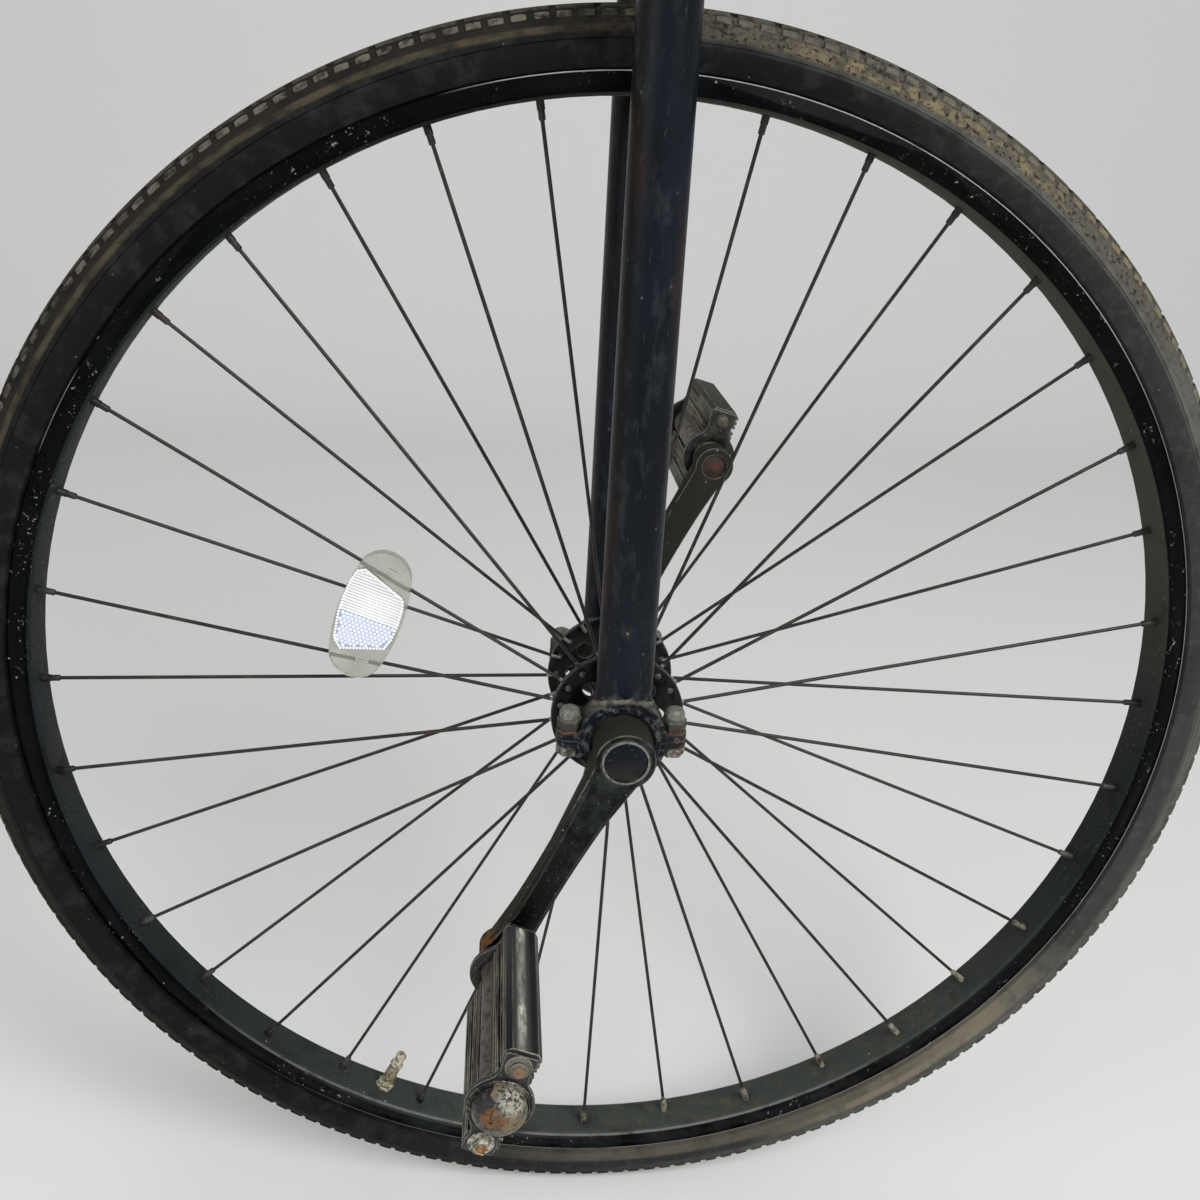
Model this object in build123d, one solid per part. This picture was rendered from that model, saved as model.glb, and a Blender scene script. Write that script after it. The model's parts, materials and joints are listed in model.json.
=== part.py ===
"""Driving wheel of a small penny farthing, carried in its fork, with cranks and pedals.

Modelled with the axle at the centre of the frame and set down by AXLE_DROP at the end, so that
the finished part hangs from its steerer: the origin is on the steerer's axis, where the steerer
rises out of the crown race. +Z is up, the axle lies along Y, the machine faces -X and its left
side is -Y. Sizes are in millimetres, angles in degrees from +X towards +Z.
"""
from build123d import *
import os
from math import atan2, cos, degrees, radians, sin

# Tyre and rim, the 37-630 size
BEAD_SEAT_RADIUS = 315.0
TYRE_SECTION_RADIUS = 18.9
TYRE_SEAT_SINK = 2.8
TYRE_CARCASS = 3.4
TYRE_NECK_RISE = 1.0
TYRE_FIT = 0.15
BEAD_WIDTH = 3.2
RIM_EDGE_HEIGHT = 6.4
RIM_HALF_WIDTH = 14.6
RIM_BED_DROP = 4.4
RIM_BED_HALF_WIDTH = 11.2
RIM_SEAT_LEDGE = 1.0
RIM_WALL = 1.8

# Radial spokes, heads outside the flanges
SPOKES_PER_SIDE = 18
SPOKE_PHASE = 9.6
SPOKE_RADIUS = 1.0
SPOKE_HEAD_RADIUS = 1.9
SPOKE_HEAD_THICKNESS = 1.4
SPOKE_ELBOW_RADIUS = 2.4
SPOKE_RIM_OFFSET = 2.5
SPOKE_HOLE_CLEARANCE = 0.3
NIPPLE_RADIUS = 2.0
NIPPLE_LENGTH = 12.0
NIPPLE_SHOWING = 10.0
NIPPLE_SEAT_DEPTH = 1.0

# Hub with perforated flanges
FLANGE_RADIUS = 36.0
FLANGE_THICKNESS = 3.5
FLANGE_OUTER_FACE = 28.0
SPOKE_CIRCLE_RADIUS = 31.5
LIGHTENING_HOLES = 8
LIGHTENING_HOLE_RADIUS = 4.75
LIGHTENING_CIRCLE_RADIUS = 21.0
HUB_BARREL_RADIUS = 13.5
HUB_BARREL_WAIST = 11.5
HUB_WAIST_TAPER = 8.0
HUB_COLLAR_HEIGHT = 2.0
HUB_COLLAR_SLOPE = 1.0

# Axle and its bearings
AXLE_RADIUS = 8.5
AXLE_MIDDLE_RADIUS = 10.0
BEARING_CENTRE = 51.0
BEARING_WIDTH = 12.0
BEARING_OUTER_RADIUS = 20.0
BEARING_INNER_RING_RADIUS = 12.0
BEARING_SHIELD_RECESS = 0.8
BEARING_RING_WALL = 3.0
RUNNING_GAP = 0.3
SQUARE_INNER = 13.6
SQUARE_OUTER = 12.4
SQUARE_END = 75.0

# Split bearing holder: half shell, lower strap, two bolts with cap nuts
HOLDER_WIDTH = 16.0
HOLDER_WALL = 3.4
HOLDER_BOLT_REACH = 4.0
HOLDER_EAR_THICKNESS = 4.0
HOLDER_EAR_RADIUS = 6.8
BOLT_RADIUS = 3.0
BOLT_CLEARANCE = 0.2
NUT_ACROSS_FLATS = 11.4
NUT_SEAT_RADIUS = 6.8
NUT_HEX_HEIGHT = 6.8
NUT_DOME_HEIGHT = 6.6
NUT_DOME_SHOULDER = 1.8
NUT_DOME_CROWN_RADIUS = 3.0
BOLT_HEAD_HEIGHT = 6.0

# Fork blades, crown and steerer
BLADE_RADIUS = 14.3
BLADE_WALL = 1.6
BLADE_FOOT_HALF_WIDTH = 14.8
BLADE_FOOT_HALF_DEPTH = 7.8
BLADE_TAPER_TOP = 95.0
CROWN_CLEARANCE = 22.0
CROWN_HEIGHT = 24.0
CROWN_NECK_HEIGHT = 16.0
CROWN_SOCKET_DEPTH = 20.0
CROWN_LUG_LENGTH = 16.0
CROWN_LUG_WALL = 3.0
CROWN_LUG_TAPER = 1.6
CROWN_CENTRE_RADIUS = 21.0
CROWN_NECK_INSET = 3.0
CROWN_CHAMFER = 5.0
SOCKET_CLEARANCE = 0.1
STEERER_RADIUS = 12.7
STEERER_BORE_RADIUS = 11.1
STEERER_LENGTH = 160.0
RACE_SEAT_RADIUS = 13.2
RACE_RADIUS = 16.6
RACE_HEIGHT = 5.0
RACE_CONE_START = 2.2
RACE_LIP = 1.0

# Cranks
CRANK_LENGTH = 127.0
CRANK_ANGLE = 61.7
CRANK_BOSS_RADIUS = 15.5
CRANK_BOSS_INNER_FACE = 58.5
CRANK_BOSS_OUTER_FACE = 80.0
CRANK_EYE_RADIUS = 11.3
CRANK_EYE_INNER_FACE = 77.0
CRANK_EYE_OUTER_FACE = 90.0
CRANK_ARM_INNER_FACE = 70.6
CRANK_ARM_ROOT_HALF_WIDTH = 12.4
CRANK_WAIST_HALF_WIDTH = 8.3
CRANK_WAIST_SETBACK = 51.0
CRANK_EYE_NECK_HALF_WIDTH = 9.2
CRANK_STEP_RUN = 3.0
CRANK_INNER_RAMP_SETBACK = 32.0
CRANK_OUTER_RAMP_START = 23.0
CRANK_OUTER_RAMP_SETBACK = 28.0
CRANK_EDGE_CHAMFER = 2.2
CRANK_CAP_RADIUS = 12.3
CRANK_CAP_DEPTH = 3.0
CRANK_CAP_RIM = 1.6
CRANK_CAP_STAND = 0.6
CRANK_CAP_DISH = 0.9

# Pedals
PEDAL_ANGLE_LEFT = 70.0
PEDAL_ANGLE_RIGHT = 74.6
PEDAL_THREAD_RADIUS = 7.0
PEDAL_THREAD_RECESS = 1.5
PEDAL_COLLAR_RADIUS = 9.0
PEDAL_COLLAR_LENGTH = 4.0
PEDAL_FLATS_WIDTH = 15.0
PEDAL_SHAFT_RADIUS = 6.0
PEDAL_SHAFT_TIP_RADIUS = 4.5
PEDAL_SHAFT_STOP = 4.0
PEDAL_INNER_PLATE_FACE = 99.3
PEDAL_BLOCK_LENGTH = 87.2
PEDAL_BLOCK_THICKNESS = 17.6
PEDAL_BLOCK_OFFSET = 0.9
PEDAL_BLOCK_OUTBOARD = 30.0
PEDAL_BLOCK_INBOARD = 8.0
PEDAL_BLOCK_CHAMFER = 2.6
PEDAL_BLOCK_HOLLOW_GAP = 0.5
PEDAL_ROD_SPACING = 46.0
PEDAL_ROD_RADIUS = 2.5
PEDAL_ROD_HOLE_CLEARANCE = 0.15
PEDAL_WASHER_RADIUS = 6.2
PEDAL_WASHER_HEIGHT = 1.2
PEDAL_RIVET_RADIUS = 3.2
PEDAL_RIVET_HEIGHT = 4.2
PEDAL_RIVET_HEAD_RADIUS = 4.2
PEDAL_RIVET_HEAD_HEIGHT = 1.8
PEDAL_BARREL_RADIUS = 9.4
PEDAL_BARREL_WALL = 2.2
PEDAL_BARREL_REACH_IN = 0.5
PEDAL_BARREL_REACH_OUT = 1.0
PEDAL_NECK_LENGTH = 4.0
PEDAL_PLATE_THICKNESS = 2.5
PEDAL_PLATE_CENTRE_RADIUS = 15.8
PEDAL_PLATE_NECK_START = 12.0
PEDAL_PLATE_NECK_PLACE = 17.0
PEDAL_PLATE_NECK_HALF_WIDTH = 7.2
PEDAL_PLATE_END_HALF_WIDTH = 7.7
PEDAL_PLATE_HALF_LENGTH = 29.2
PEDAL_PLATE_CORNER = 1.0
PEDAL_DOME_SKIRT_RADIUS = 15.0
PEDAL_DOME_SKIRT = 1.5
PEDAL_DOME_RADIUS = 12.8
PEDAL_DOME_HEIGHT = 12.0
TREAD_GROOVES = 5
TREAD_GROOVE_PITCH = 3.2
TREAD_GROOVE_DEPTH = 0.9
TREAD_GROOVE_WIDTH = 1.1
TREAD_MAIN_DEPTH = 1.8
TREAD_MAIN_WIDTH = 2.6

# Spoke reflector and valve
REFLECTOR_LENGTH = 72.3
REFLECTOR_CASE_DROP = 1.3
REFLECTOR_WIDTH = 34.4
REFLECTOR_END_WIDTH = 27.0
REFLECTOR_END_RISE = 9.2
REFLECTOR_THICKNESS = 6.5
REFLECTOR_POCKET_FLOOR = 2.0
REFLECTOR_RADIAL_PLACE = 142.1
REFLECTOR_ANGLE = 157.9
REFLECTOR_TURN = 3.0
REFLECTOR_LENS_RISE = 0.8
REFLECTOR_GAP = 0.2
VALVE_ANGLE = 245.0
VALVE_STEM_RADIUS = 2.9
VALVE_HOLE_CLEARANCE = 0.1
VALVE_LENGTH = 29.0
VALVE_STEM_INSIDE = 2.3
VALVE_NUT_ACROSS_FLATS = 10.0
VALVE_NUT_HEIGHT = 3.5
VALVE_CAP_RADIUS = 4.2
VALVE_CAP_LENGTH = 12.0
VALVE_TIP_LENGTH = 3.0

# The lens panel's corners, as shares of the reflector's half width and half length
REFLECTOR_LENS_CORNERS = [
    (0.79, -0.59), (0.58, -0.64), (-0.72, -0.41), (-0.80, -0.37), (-0.86, -0.27), (-0.90, 0.0),
    (-0.86, 0.26), (-0.75, 0.43), (0.51, 0.65), (0.73, 0.56), (0.81, 0.49), (0.93, 0.11),
    (0.94, -0.14), (0.89, -0.42),
]

# How far a cutting tool runs past the surface it opens
CUT_SPARE = 1.0

# Places worked out from the sizes above
SECTION_CENTRE = BEAD_SEAT_RADIUS - TYRE_SEAT_SINK + TYRE_SECTION_RADIUS
TYRE_RADIUS = SECTION_CENTRE + TYRE_SECTION_RADIUS
RIM_EDGE_RADIUS = BEAD_SEAT_RADIUS + RIM_EDGE_HEIGHT
RIM_BED_RADIUS = BEAD_SEAT_RADIUS - RIM_BED_DROP
FLANGE_INNER_FACE = FLANGE_OUTER_FACE - FLANGE_THICKNESS
BEARING_INNER_FACE = BEARING_CENTRE - BEARING_WIDTH / 2
BEARING_OUTER_FACE = BEARING_CENTRE + BEARING_WIDTH / 2
HOLDER_RADIUS = BEARING_OUTER_RADIUS + HOLDER_WALL
HOLDER_BOLT_OFFSET = HOLDER_RADIUS + HOLDER_BOLT_REACH
HOLDER_INNER_FACE = BEARING_CENTRE - HOLDER_WIDTH / 2
HOLDER_OUTER_FACE = BEARING_CENTRE + HOLDER_WIDTH / 2
CROWN_BOTTOM = TYRE_RADIUS + CROWN_CLEARANCE
CROWN_TOP = CROWN_BOTTOM + CROWN_HEIGHT + CROWN_NECK_HEIGHT
AXLE_DROP = CROWN_TOP + RACE_HEIGHT
CRANK_WAIST_PLACE = CRANK_LENGTH - CRANK_WAIST_SETBACK
CRANK_INNER_RAMP_END = CRANK_LENGTH - CRANK_INNER_RAMP_SETBACK
CRANK_OUTER_RAMP_END = CRANK_LENGTH - CRANK_OUTER_RAMP_SETBACK
PEDAL_OUTER_PLATE_FACE = PEDAL_INNER_PLATE_FACE + 2 * PEDAL_PLATE_THICKNESS + PEDAL_BLOCK_LENGTH
PEDAL_BARREL_END = PEDAL_OUTER_PLATE_FACE + PEDAL_BARREL_REACH_OUT
SPOKE_SPACING = 360.0 / SPOKES_PER_SIDE


def turned(shape, angle):
    """Turn a shape about the axle, from +X towards +Z."""
    return Rot(0, -angle, 0) * shape


def left_of(shape):
    """The mirror image of a right-hand shape, on the machine's left side."""
    return mirror(shape, Plane.XZ)


def spun(points):
    """Turn a closed outline of (radius, place along the axle) about the axle."""
    return revolve(make_face(Polyline(*points, close=True)), Axis.Y)


def drum(radius, near, far):
    """A solid cylinder along the axle's direction between two places."""
    return Pos(0, (near + far) / 2, 0) * Rot(90, 0, 0) * Cylinder(radius, far - near)


def along_y(sketch, near, far):
    """Extrude a sketch of (x, z) between two places along Y."""
    on_plane = Plane(origin=(0, near, 0), x_dir=(1, 0, 0), z_dir=(0, -1, 0))
    return extrude(on_plane * sketch, near - far)


def hexagon(across_flats):
    """A hexagon by its size across the flats, two of which face along the first axis."""
    return Rot(0, 0, 30) * RegularPolygon(across_flats / 2, 6, major_radius=False)


def tyre():
    """A C-shaped carcass whose beads sit in the rim, with a plain crown."""
    half_mouth = RIM_HALF_WIDTH - RIM_WALL - TYRE_FIT
    neck_radius = RIM_EDGE_RADIUS + TYRE_NECK_RISE
    outer_neck = (TYRE_SECTION_RADIUS ** 2 - (SECTION_CENTRE - neck_radius) ** 2) ** 0.5
    inner_radius = TYRE_SECTION_RADIUS - TYRE_CARCASS
    inner_mouth = half_mouth - BEAD_WIDTH
    inner_neck = SECTION_CENTRE - (inner_radius ** 2 - inner_mouth ** 2) ** 0.5
    foot = BEAD_SEAT_RADIUS + TYRE_FIT
    outline = [
        ThreePointArc((neck_radius, -outer_neck), (TYRE_RADIUS, 0), (neck_radius, outer_neck)),
        Polyline((neck_radius, outer_neck), (RIM_EDGE_RADIUS + TYRE_FIT, half_mouth),
                 (foot, half_mouth), (foot, inner_mouth), (inner_neck, inner_mouth)),
        ThreePointArc((inner_neck, inner_mouth), (SECTION_CENTRE + inner_radius, 0),
                      (inner_neck, -inner_mouth)),
        Polyline((inner_neck, -inner_mouth), (foot, -inner_mouth), (foot, -half_mouth),
                 (RIM_EDGE_RADIUS + TYRE_FIT, -half_mouth), (neck_radius, -outer_neck)),
    ]
    return revolve(make_face(outline), Axis.Y)


def rim():
    """A channel with upright edges, bead seats and a flat bed drilled for nipples and valve."""
    inner_edge = RIM_HALF_WIDTH - RIM_WALL
    well = RIM_BED_RADIUS + RIM_WALL
    well_half = RIM_BED_HALF_WIDTH - RIM_WALL
    half = [(RIM_EDGE_RADIUS, inner_edge), (RIM_EDGE_RADIUS, RIM_HALF_WIDTH),
            (BEAD_SEAT_RADIUS - RIM_WALL, RIM_HALF_WIDTH), (RIM_BED_RADIUS, RIM_BED_HALF_WIDTH)]
    inside = [(BEAD_SEAT_RADIUS, inner_edge), (BEAD_SEAT_RADIUS, well_half + RIM_SEAT_LEDGE),
              (well, well_half)]
    outline = half + [(r, -y) for r, y in reversed(half)]
    outline += [(r, -y) for r, y in inside] + [(r, y) for r, y in reversed(inside)]
    reach = 4 * RIM_WALL
    drill_radius = NIPPLE_RADIUS + SPOKE_HOLE_CLEARANCE
    drill = Pos(RIM_BED_RADIUS, 0, 0) * Rot(0, 90, 0) * Cylinder(drill_radius, reach)
    holes = [turned(Pos(0, side * SPOKE_RIM_OFFSET, 0) * drill, angle)
             for side in (-1, 1) for angle in spoke_angles(side)]
    valve_drill = Cylinder(VALVE_STEM_RADIUS + VALVE_HOLE_CLEARANCE, reach)
    holes.append(turned(Pos(RIM_BED_RADIUS, 0, 0) * Rot(0, 90, 0) * valve_drill, VALVE_ANGLE))
    return spun(outline) - holes


def spoke_angles(side):
    """Angles of one flange's spokes; the right flange stands half a space further on."""
    start = SPOKE_PHASE + (SPOKE_SPACING / 2 if side > 0 else 0.0)
    return [start + SPOKE_SPACING * step for step in range(SPOKES_PER_SIDE)]


def one_spoke():
    """A right-hand spoke pointing along +X: head, elbow, wire and nipple."""
    bend_y = FLANGE_INNER_FACE - SPOKE_ELBOW_RADIUS
    rim_point = Vector(RIM_BED_RADIUS + NIPPLE_SEAT_DEPTH, SPOKE_RIM_OFFSET, 0)
    corner = Vector(SPOKE_CIRCLE_RADIUS, bend_y, 0)
    head = drum(SPOKE_HEAD_RADIUS, FLANGE_OUTER_FACE, FLANGE_OUTER_FACE + SPOKE_HEAD_THICKNESS)
    start = Vector(SPOKE_CIRCLE_RADIUS, FLANGE_OUTER_FACE, 0)
    path = FilletPolyline(start, corner, rim_point, radius=SPOKE_ELBOW_RADIUS)
    wire = sweep(Plane(origin=start, z_dir=(0, -1, 0)) * Circle(SPOKE_RADIUS), path)
    direction = (rim_point - corner).normalized()
    nipple_start = rim_point - direction * NIPPLE_SHOWING
    nipple_plane = Plane(origin=nipple_start, z_dir=direction)
    nipple = extrude(nipple_plane * Circle(NIPPLE_RADIUS), NIPPLE_LENGTH)
    return wire + Pos(SPOKE_CIRCLE_RADIUS, 0, 0) * head + nipple


def spokes(side):
    """All spokes of one flange, which don't touch each other."""
    spoke = one_spoke()
    if side < 0:
        spoke = left_of(spoke)
    return [turned(spoke, angle) for angle in spoke_angles(side)]


def hub_shell():
    """Waisted barrel with two flanges, drilled for the spokes and lightened between them."""
    collar = FLANGE_OUTER_FACE + HUB_COLLAR_HEIGHT
    half = [(AXLE_MIDDLE_RADIUS, collar), (HUB_BARREL_RADIUS, collar),
            (HUB_BARREL_RADIUS + HUB_COLLAR_SLOPE, FLANGE_OUTER_FACE), (FLANGE_RADIUS, FLANGE_OUTER_FACE),
            (FLANGE_RADIUS, FLANGE_INNER_FACE), (HUB_BARREL_RADIUS, FLANGE_INNER_FACE),
            (HUB_BARREL_WAIST, FLANGE_INNER_FACE - HUB_WAIST_TAPER)]
    holes = []
    for side in (-1, 1):
        near, far = sorted((side * (FLANGE_INNER_FACE - CUT_SPARE), side * (FLANGE_OUTER_FACE + CUT_SPARE)))
        hole = Pos(SPOKE_CIRCLE_RADIUS, 0, 0) * drum(SPOKE_RADIUS + SPOKE_HOLE_CLEARANCE, near, far)
        window = Pos(LIGHTENING_CIRCLE_RADIUS, 0, 0) * drum(LIGHTENING_HOLE_RADIUS, near, far)
        holes += [turned(hole, angle) for angle in spoke_angles(side)]
        holes += [turned(window, 360.0 / LIGHTENING_HOLES * step) for step in range(LIGHTENING_HOLES)]
    return spun(half + [(r, -y) for r, y in reversed(half)]) - holes


def square_end():
    """The tapered square at the axle's right end."""
    face = Plane(origin=(0, CRANK_BOSS_INNER_FACE, 0), x_dir=(1, 0, 0), z_dir=(0, 1, 0))
    tip = Plane(origin=(0, SQUARE_END, 0), x_dir=(1, 0, 0), z_dir=(0, 1, 0))
    return loft([face * Rectangle(SQUARE_INNER, SQUARE_INNER), tip * Rectangle(SQUARE_OUTER, SQUARE_OUTER)])


def axle():
    """Shaft through hub and bearings, with a square taper for each crank."""
    half = [(0, CRANK_BOSS_INNER_FACE), (AXLE_RADIUS, CRANK_BOSS_INNER_FACE),
            (AXLE_RADIUS, BEARING_INNER_FACE), (AXLE_MIDDLE_RADIUS, BEARING_INNER_FACE)]
    shaft = spun(half + [(r, -y) for r, y in reversed(half)])
    square = turned(square_end(), CRANK_ANGLE)
    return shaft + square + left_of(square)


def bearing_inner_ring():
    """The bearing's ring that turns with the axle, with the spacer that sets the hub's place."""
    ring = spun([(AXLE_RADIUS, BEARING_INNER_FACE), (BEARING_INNER_RING_RADIUS, BEARING_INNER_FACE),
                 (BEARING_INNER_RING_RADIUS, BEARING_OUTER_FACE), (AXLE_RADIUS, BEARING_OUTER_FACE)])
    collar = FLANGE_OUTER_FACE + HUB_COLLAR_HEIGHT
    spacer = spun([(AXLE_MIDDLE_RADIUS, collar), (BEARING_INNER_RING_RADIUS, collar),
                   (BEARING_INNER_RING_RADIUS, BEARING_INNER_FACE),
                   (AXLE_MIDDLE_RADIUS, BEARING_INNER_FACE)])
    return ring + spacer


def bearing_outer_ring():
    """The bearing's fixed ring with its two recessed shields."""
    shield = BEARING_INNER_RING_RADIUS + RUNNING_GAP
    lip = BEARING_OUTER_RADIUS - BEARING_RING_WALL
    near, far = BEARING_INNER_FACE, BEARING_OUTER_FACE
    recess = BEARING_SHIELD_RECESS
    return spun([(shield, near + recess), (lip, near + recess), (lip, near), (BEARING_OUTER_RADIUS, near),
                 (BEARING_OUTER_RADIUS, far), (lip, far), (lip, far - recess), (shield, far - recess)])


def holder_half(upper):
    """Half of the split bearing holder: a half shell with two ears, drilled and spot faced."""
    up = 1 if upper else -1
    ring = Circle(HOLDER_RADIUS) - Circle(BEARING_OUTER_RADIUS)
    shell = ring & Pos(0, up * HOLDER_RADIUS) * Rectangle(2 * HOLDER_RADIUS, 2 * HOLDER_RADIUS)
    body = along_y(shell, HOLDER_INNER_FACE, HOLDER_OUTER_FACE)
    web_start = BEARING_OUTER_RADIUS + HOLDER_WALL / 2
    web_length = HOLDER_BOLT_OFFSET - web_start
    bolt_holes = []
    for side in (-1, 1):
        place = Pos(side * HOLDER_BOLT_OFFSET, BEARING_CENTRE, 0)
        pad = place * Cylinder(HOLDER_EAR_RADIUS, HOLDER_EAR_THICKNESS)
        web = Pos(side * (web_start + web_length / 2), BEARING_CENTRE, 0) * Box(
            web_length, 2 * HOLDER_EAR_RADIUS, HOLDER_EAR_THICKNESS)
        nut_seat = place * Pos(0, 0, up * (HOLDER_EAR_THICKNESS + HOLDER_RADIUS / 2)) * Cylinder(
            NUT_SEAT_RADIUS, HOLDER_RADIUS)
        body += Pos(0, 0, up * HOLDER_EAR_THICKNESS / 2) * (pad + web)
        body -= nut_seat
        bolt_holes.append(place * Cylinder(BOLT_RADIUS + BOLT_CLEARANCE, 3 * HOLDER_EAR_THICKNESS))
    return body - bolt_holes


def holder_bolts():
    """Two bolts from below, each with a domed cap nut on top."""
    standing = (Align.CENTER, Align.CENTER, Align.MIN)
    dome_radius = NUT_ACROSS_FLATS / 2
    head = extrude(Plane.XY.offset(-HOLDER_EAR_THICKNESS) * hexagon(NUT_ACROSS_FLATS), -BOLT_HEAD_HEIGHT)
    nut = extrude(Plane.XY.offset(HOLDER_EAR_THICKNESS) * hexagon(NUT_ACROSS_FLATS), NUT_HEX_HEIGHT)
    shoulder_start = HOLDER_EAR_THICKNESS + NUT_HEX_HEIGHT
    shoulder = Pos(0, 0, shoulder_start) * Cylinder(dome_radius, NUT_DOME_SHOULDER, align=standing)
    dome = Pos(0, 0, shoulder_start + NUT_DOME_SHOULDER) * Cone(
        dome_radius, NUT_DOME_CROWN_RADIUS, NUT_DOME_HEIGHT - NUT_DOME_SHOULDER, align=standing)
    shank = Cylinder(BOLT_RADIUS, 2 * HOLDER_EAR_THICKNESS)
    bolt = head + shank + nut + shoulder + dome
    return [Pos(side * HOLDER_BOLT_OFFSET, BEARING_CENTRE, 0) * bolt for side in (-1, 1)]


def fork_blade():
    """Round tube whose foot is pressed oval and cut to sit on the bearing holder."""
    def stick(shrink):
        """The blade's solid form, smaller all round by shrink."""
        round_part = Pos(0, BEARING_CENTRE, BLADE_TAPER_TOP) * Cylinder(
            BLADE_RADIUS - shrink, CROWN_BOTTOM + CROWN_SOCKET_DEPTH - BLADE_TAPER_TOP,
            align=(Align.CENTER, Align.CENTER, Align.MIN))
        top = Plane(origin=(0, BEARING_CENTRE, BLADE_TAPER_TOP))
        foot = Plane(origin=(0, BEARING_CENTRE, BEARING_OUTER_RADIUS / 2))
        foot_oval = Ellipse(BLADE_FOOT_HALF_WIDTH - shrink, BLADE_FOOT_HALF_DEPTH - shrink)
        taper = loft([foot * foot_oval, top * Ellipse(BLADE_RADIUS - shrink, BLADE_RADIUS - shrink)])
        return round_part + taper
    seat = drum(HOLDER_RADIUS, 0, 2 * BEARING_CENTRE)
    return stick(0.0) - stick(BLADE_WALL) - seat


def fork_crown():
    """A forged bridge over the tyre with a socket lug for each blade and a neck for the steerer."""
    lug_radius = BLADE_RADIUS + SOCKET_CLEARANCE + CROWN_LUG_WALL
    outline = make_hull([*(Pos(0, BEARING_CENTRE) * Circle(lug_radius)).edges(),
                         *(Pos(0, -BEARING_CENTRE) * Circle(lug_radius)).edges(),
                         *Circle(CROWN_CENTRE_RADIUS).edges()])
    bridge = extrude(Plane.XY.offset(CROWN_BOTTOM) * outline, CROWN_HEIGHT)
    bridge = chamfer(bridge.faces().sort_by(Axis.Z)[-1].edges(), CROWN_CHAMFER)
    neck = Pos(0, 0, CROWN_BOTTOM + CROWN_HEIGHT) * Cone(
        CROWN_CENTRE_RADIUS - CROWN_NECK_INSET, RACE_RADIUS, CROWN_NECK_HEIGHT,
        align=(Align.CENTER, Align.CENTER, Align.MIN))
    body = bridge + neck
    for side in (-1, 1):
        lug = Pos(0, side * BEARING_CENTRE, CROWN_BOTTOM) * Cone(
            lug_radius - CROWN_LUG_TAPER, lug_radius, CROWN_LUG_LENGTH,
            align=(Align.CENTER, Align.CENTER, Align.MAX))
        body += lug
    for side in (-1, 1):
        socket = Pos(0, side * BEARING_CENTRE, CROWN_BOTTOM + CROWN_SOCKET_DEPTH) * Cylinder(
            BLADE_RADIUS + SOCKET_CLEARANCE, CROWN_SOCKET_DEPTH + CROWN_LUG_LENGTH + CUT_SPARE,
            align=(Align.CENTER, Align.CENTER, Align.MAX))
        body -= socket
    bore = Pos(0, 0, CROWN_BOTTOM - CUT_SPARE) * Cylinder(
        RACE_SEAT_RADIUS, CROWN_HEIGHT + CROWN_NECK_HEIGHT + 2 * CUT_SPARE,
        align=(Align.CENTER, Align.CENTER, Align.MIN))
    return body - bore


def steerer():
    """Steering tube: a thicker seat through crown and race, then the plain exposed length."""
    base = Pos(0, 0, CROWN_BOTTOM) * Cylinder(RACE_SEAT_RADIUS, AXLE_DROP - CROWN_BOTTOM,
                                              align=(Align.CENTER, Align.CENTER, Align.MIN))
    pin = Pos(0, 0, AXLE_DROP) * Cylinder(STEERER_RADIUS, STEERER_LENGTH,
                                          align=(Align.CENTER, Align.CENTER, Align.MIN))
    bore_length = AXLE_DROP + STEERER_LENGTH - CROWN_BOTTOM
    bore = Pos(0, 0, CROWN_BOTTOM) * Cylinder(STEERER_BORE_RADIUS, bore_length,
                                              align=(Align.CENTER, Align.CENTER, Align.MIN))
    return base + pin - bore


def crown_race():
    """The ring at the steerer's foot that carries the lower steering bearing."""
    outline = Polyline((RACE_SEAT_RADIUS, CROWN_TOP), (RACE_RADIUS, CROWN_TOP),
                       (RACE_RADIUS, CROWN_TOP + RACE_CONE_START),
                       (RACE_SEAT_RADIUS + RACE_LIP, CROWN_TOP + RACE_HEIGHT),
                       (RACE_SEAT_RADIUS, CROWN_TOP + RACE_HEIGHT), close=True)
    return revolve(Plane.XZ * make_face(outline), Axis.Z)


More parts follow.
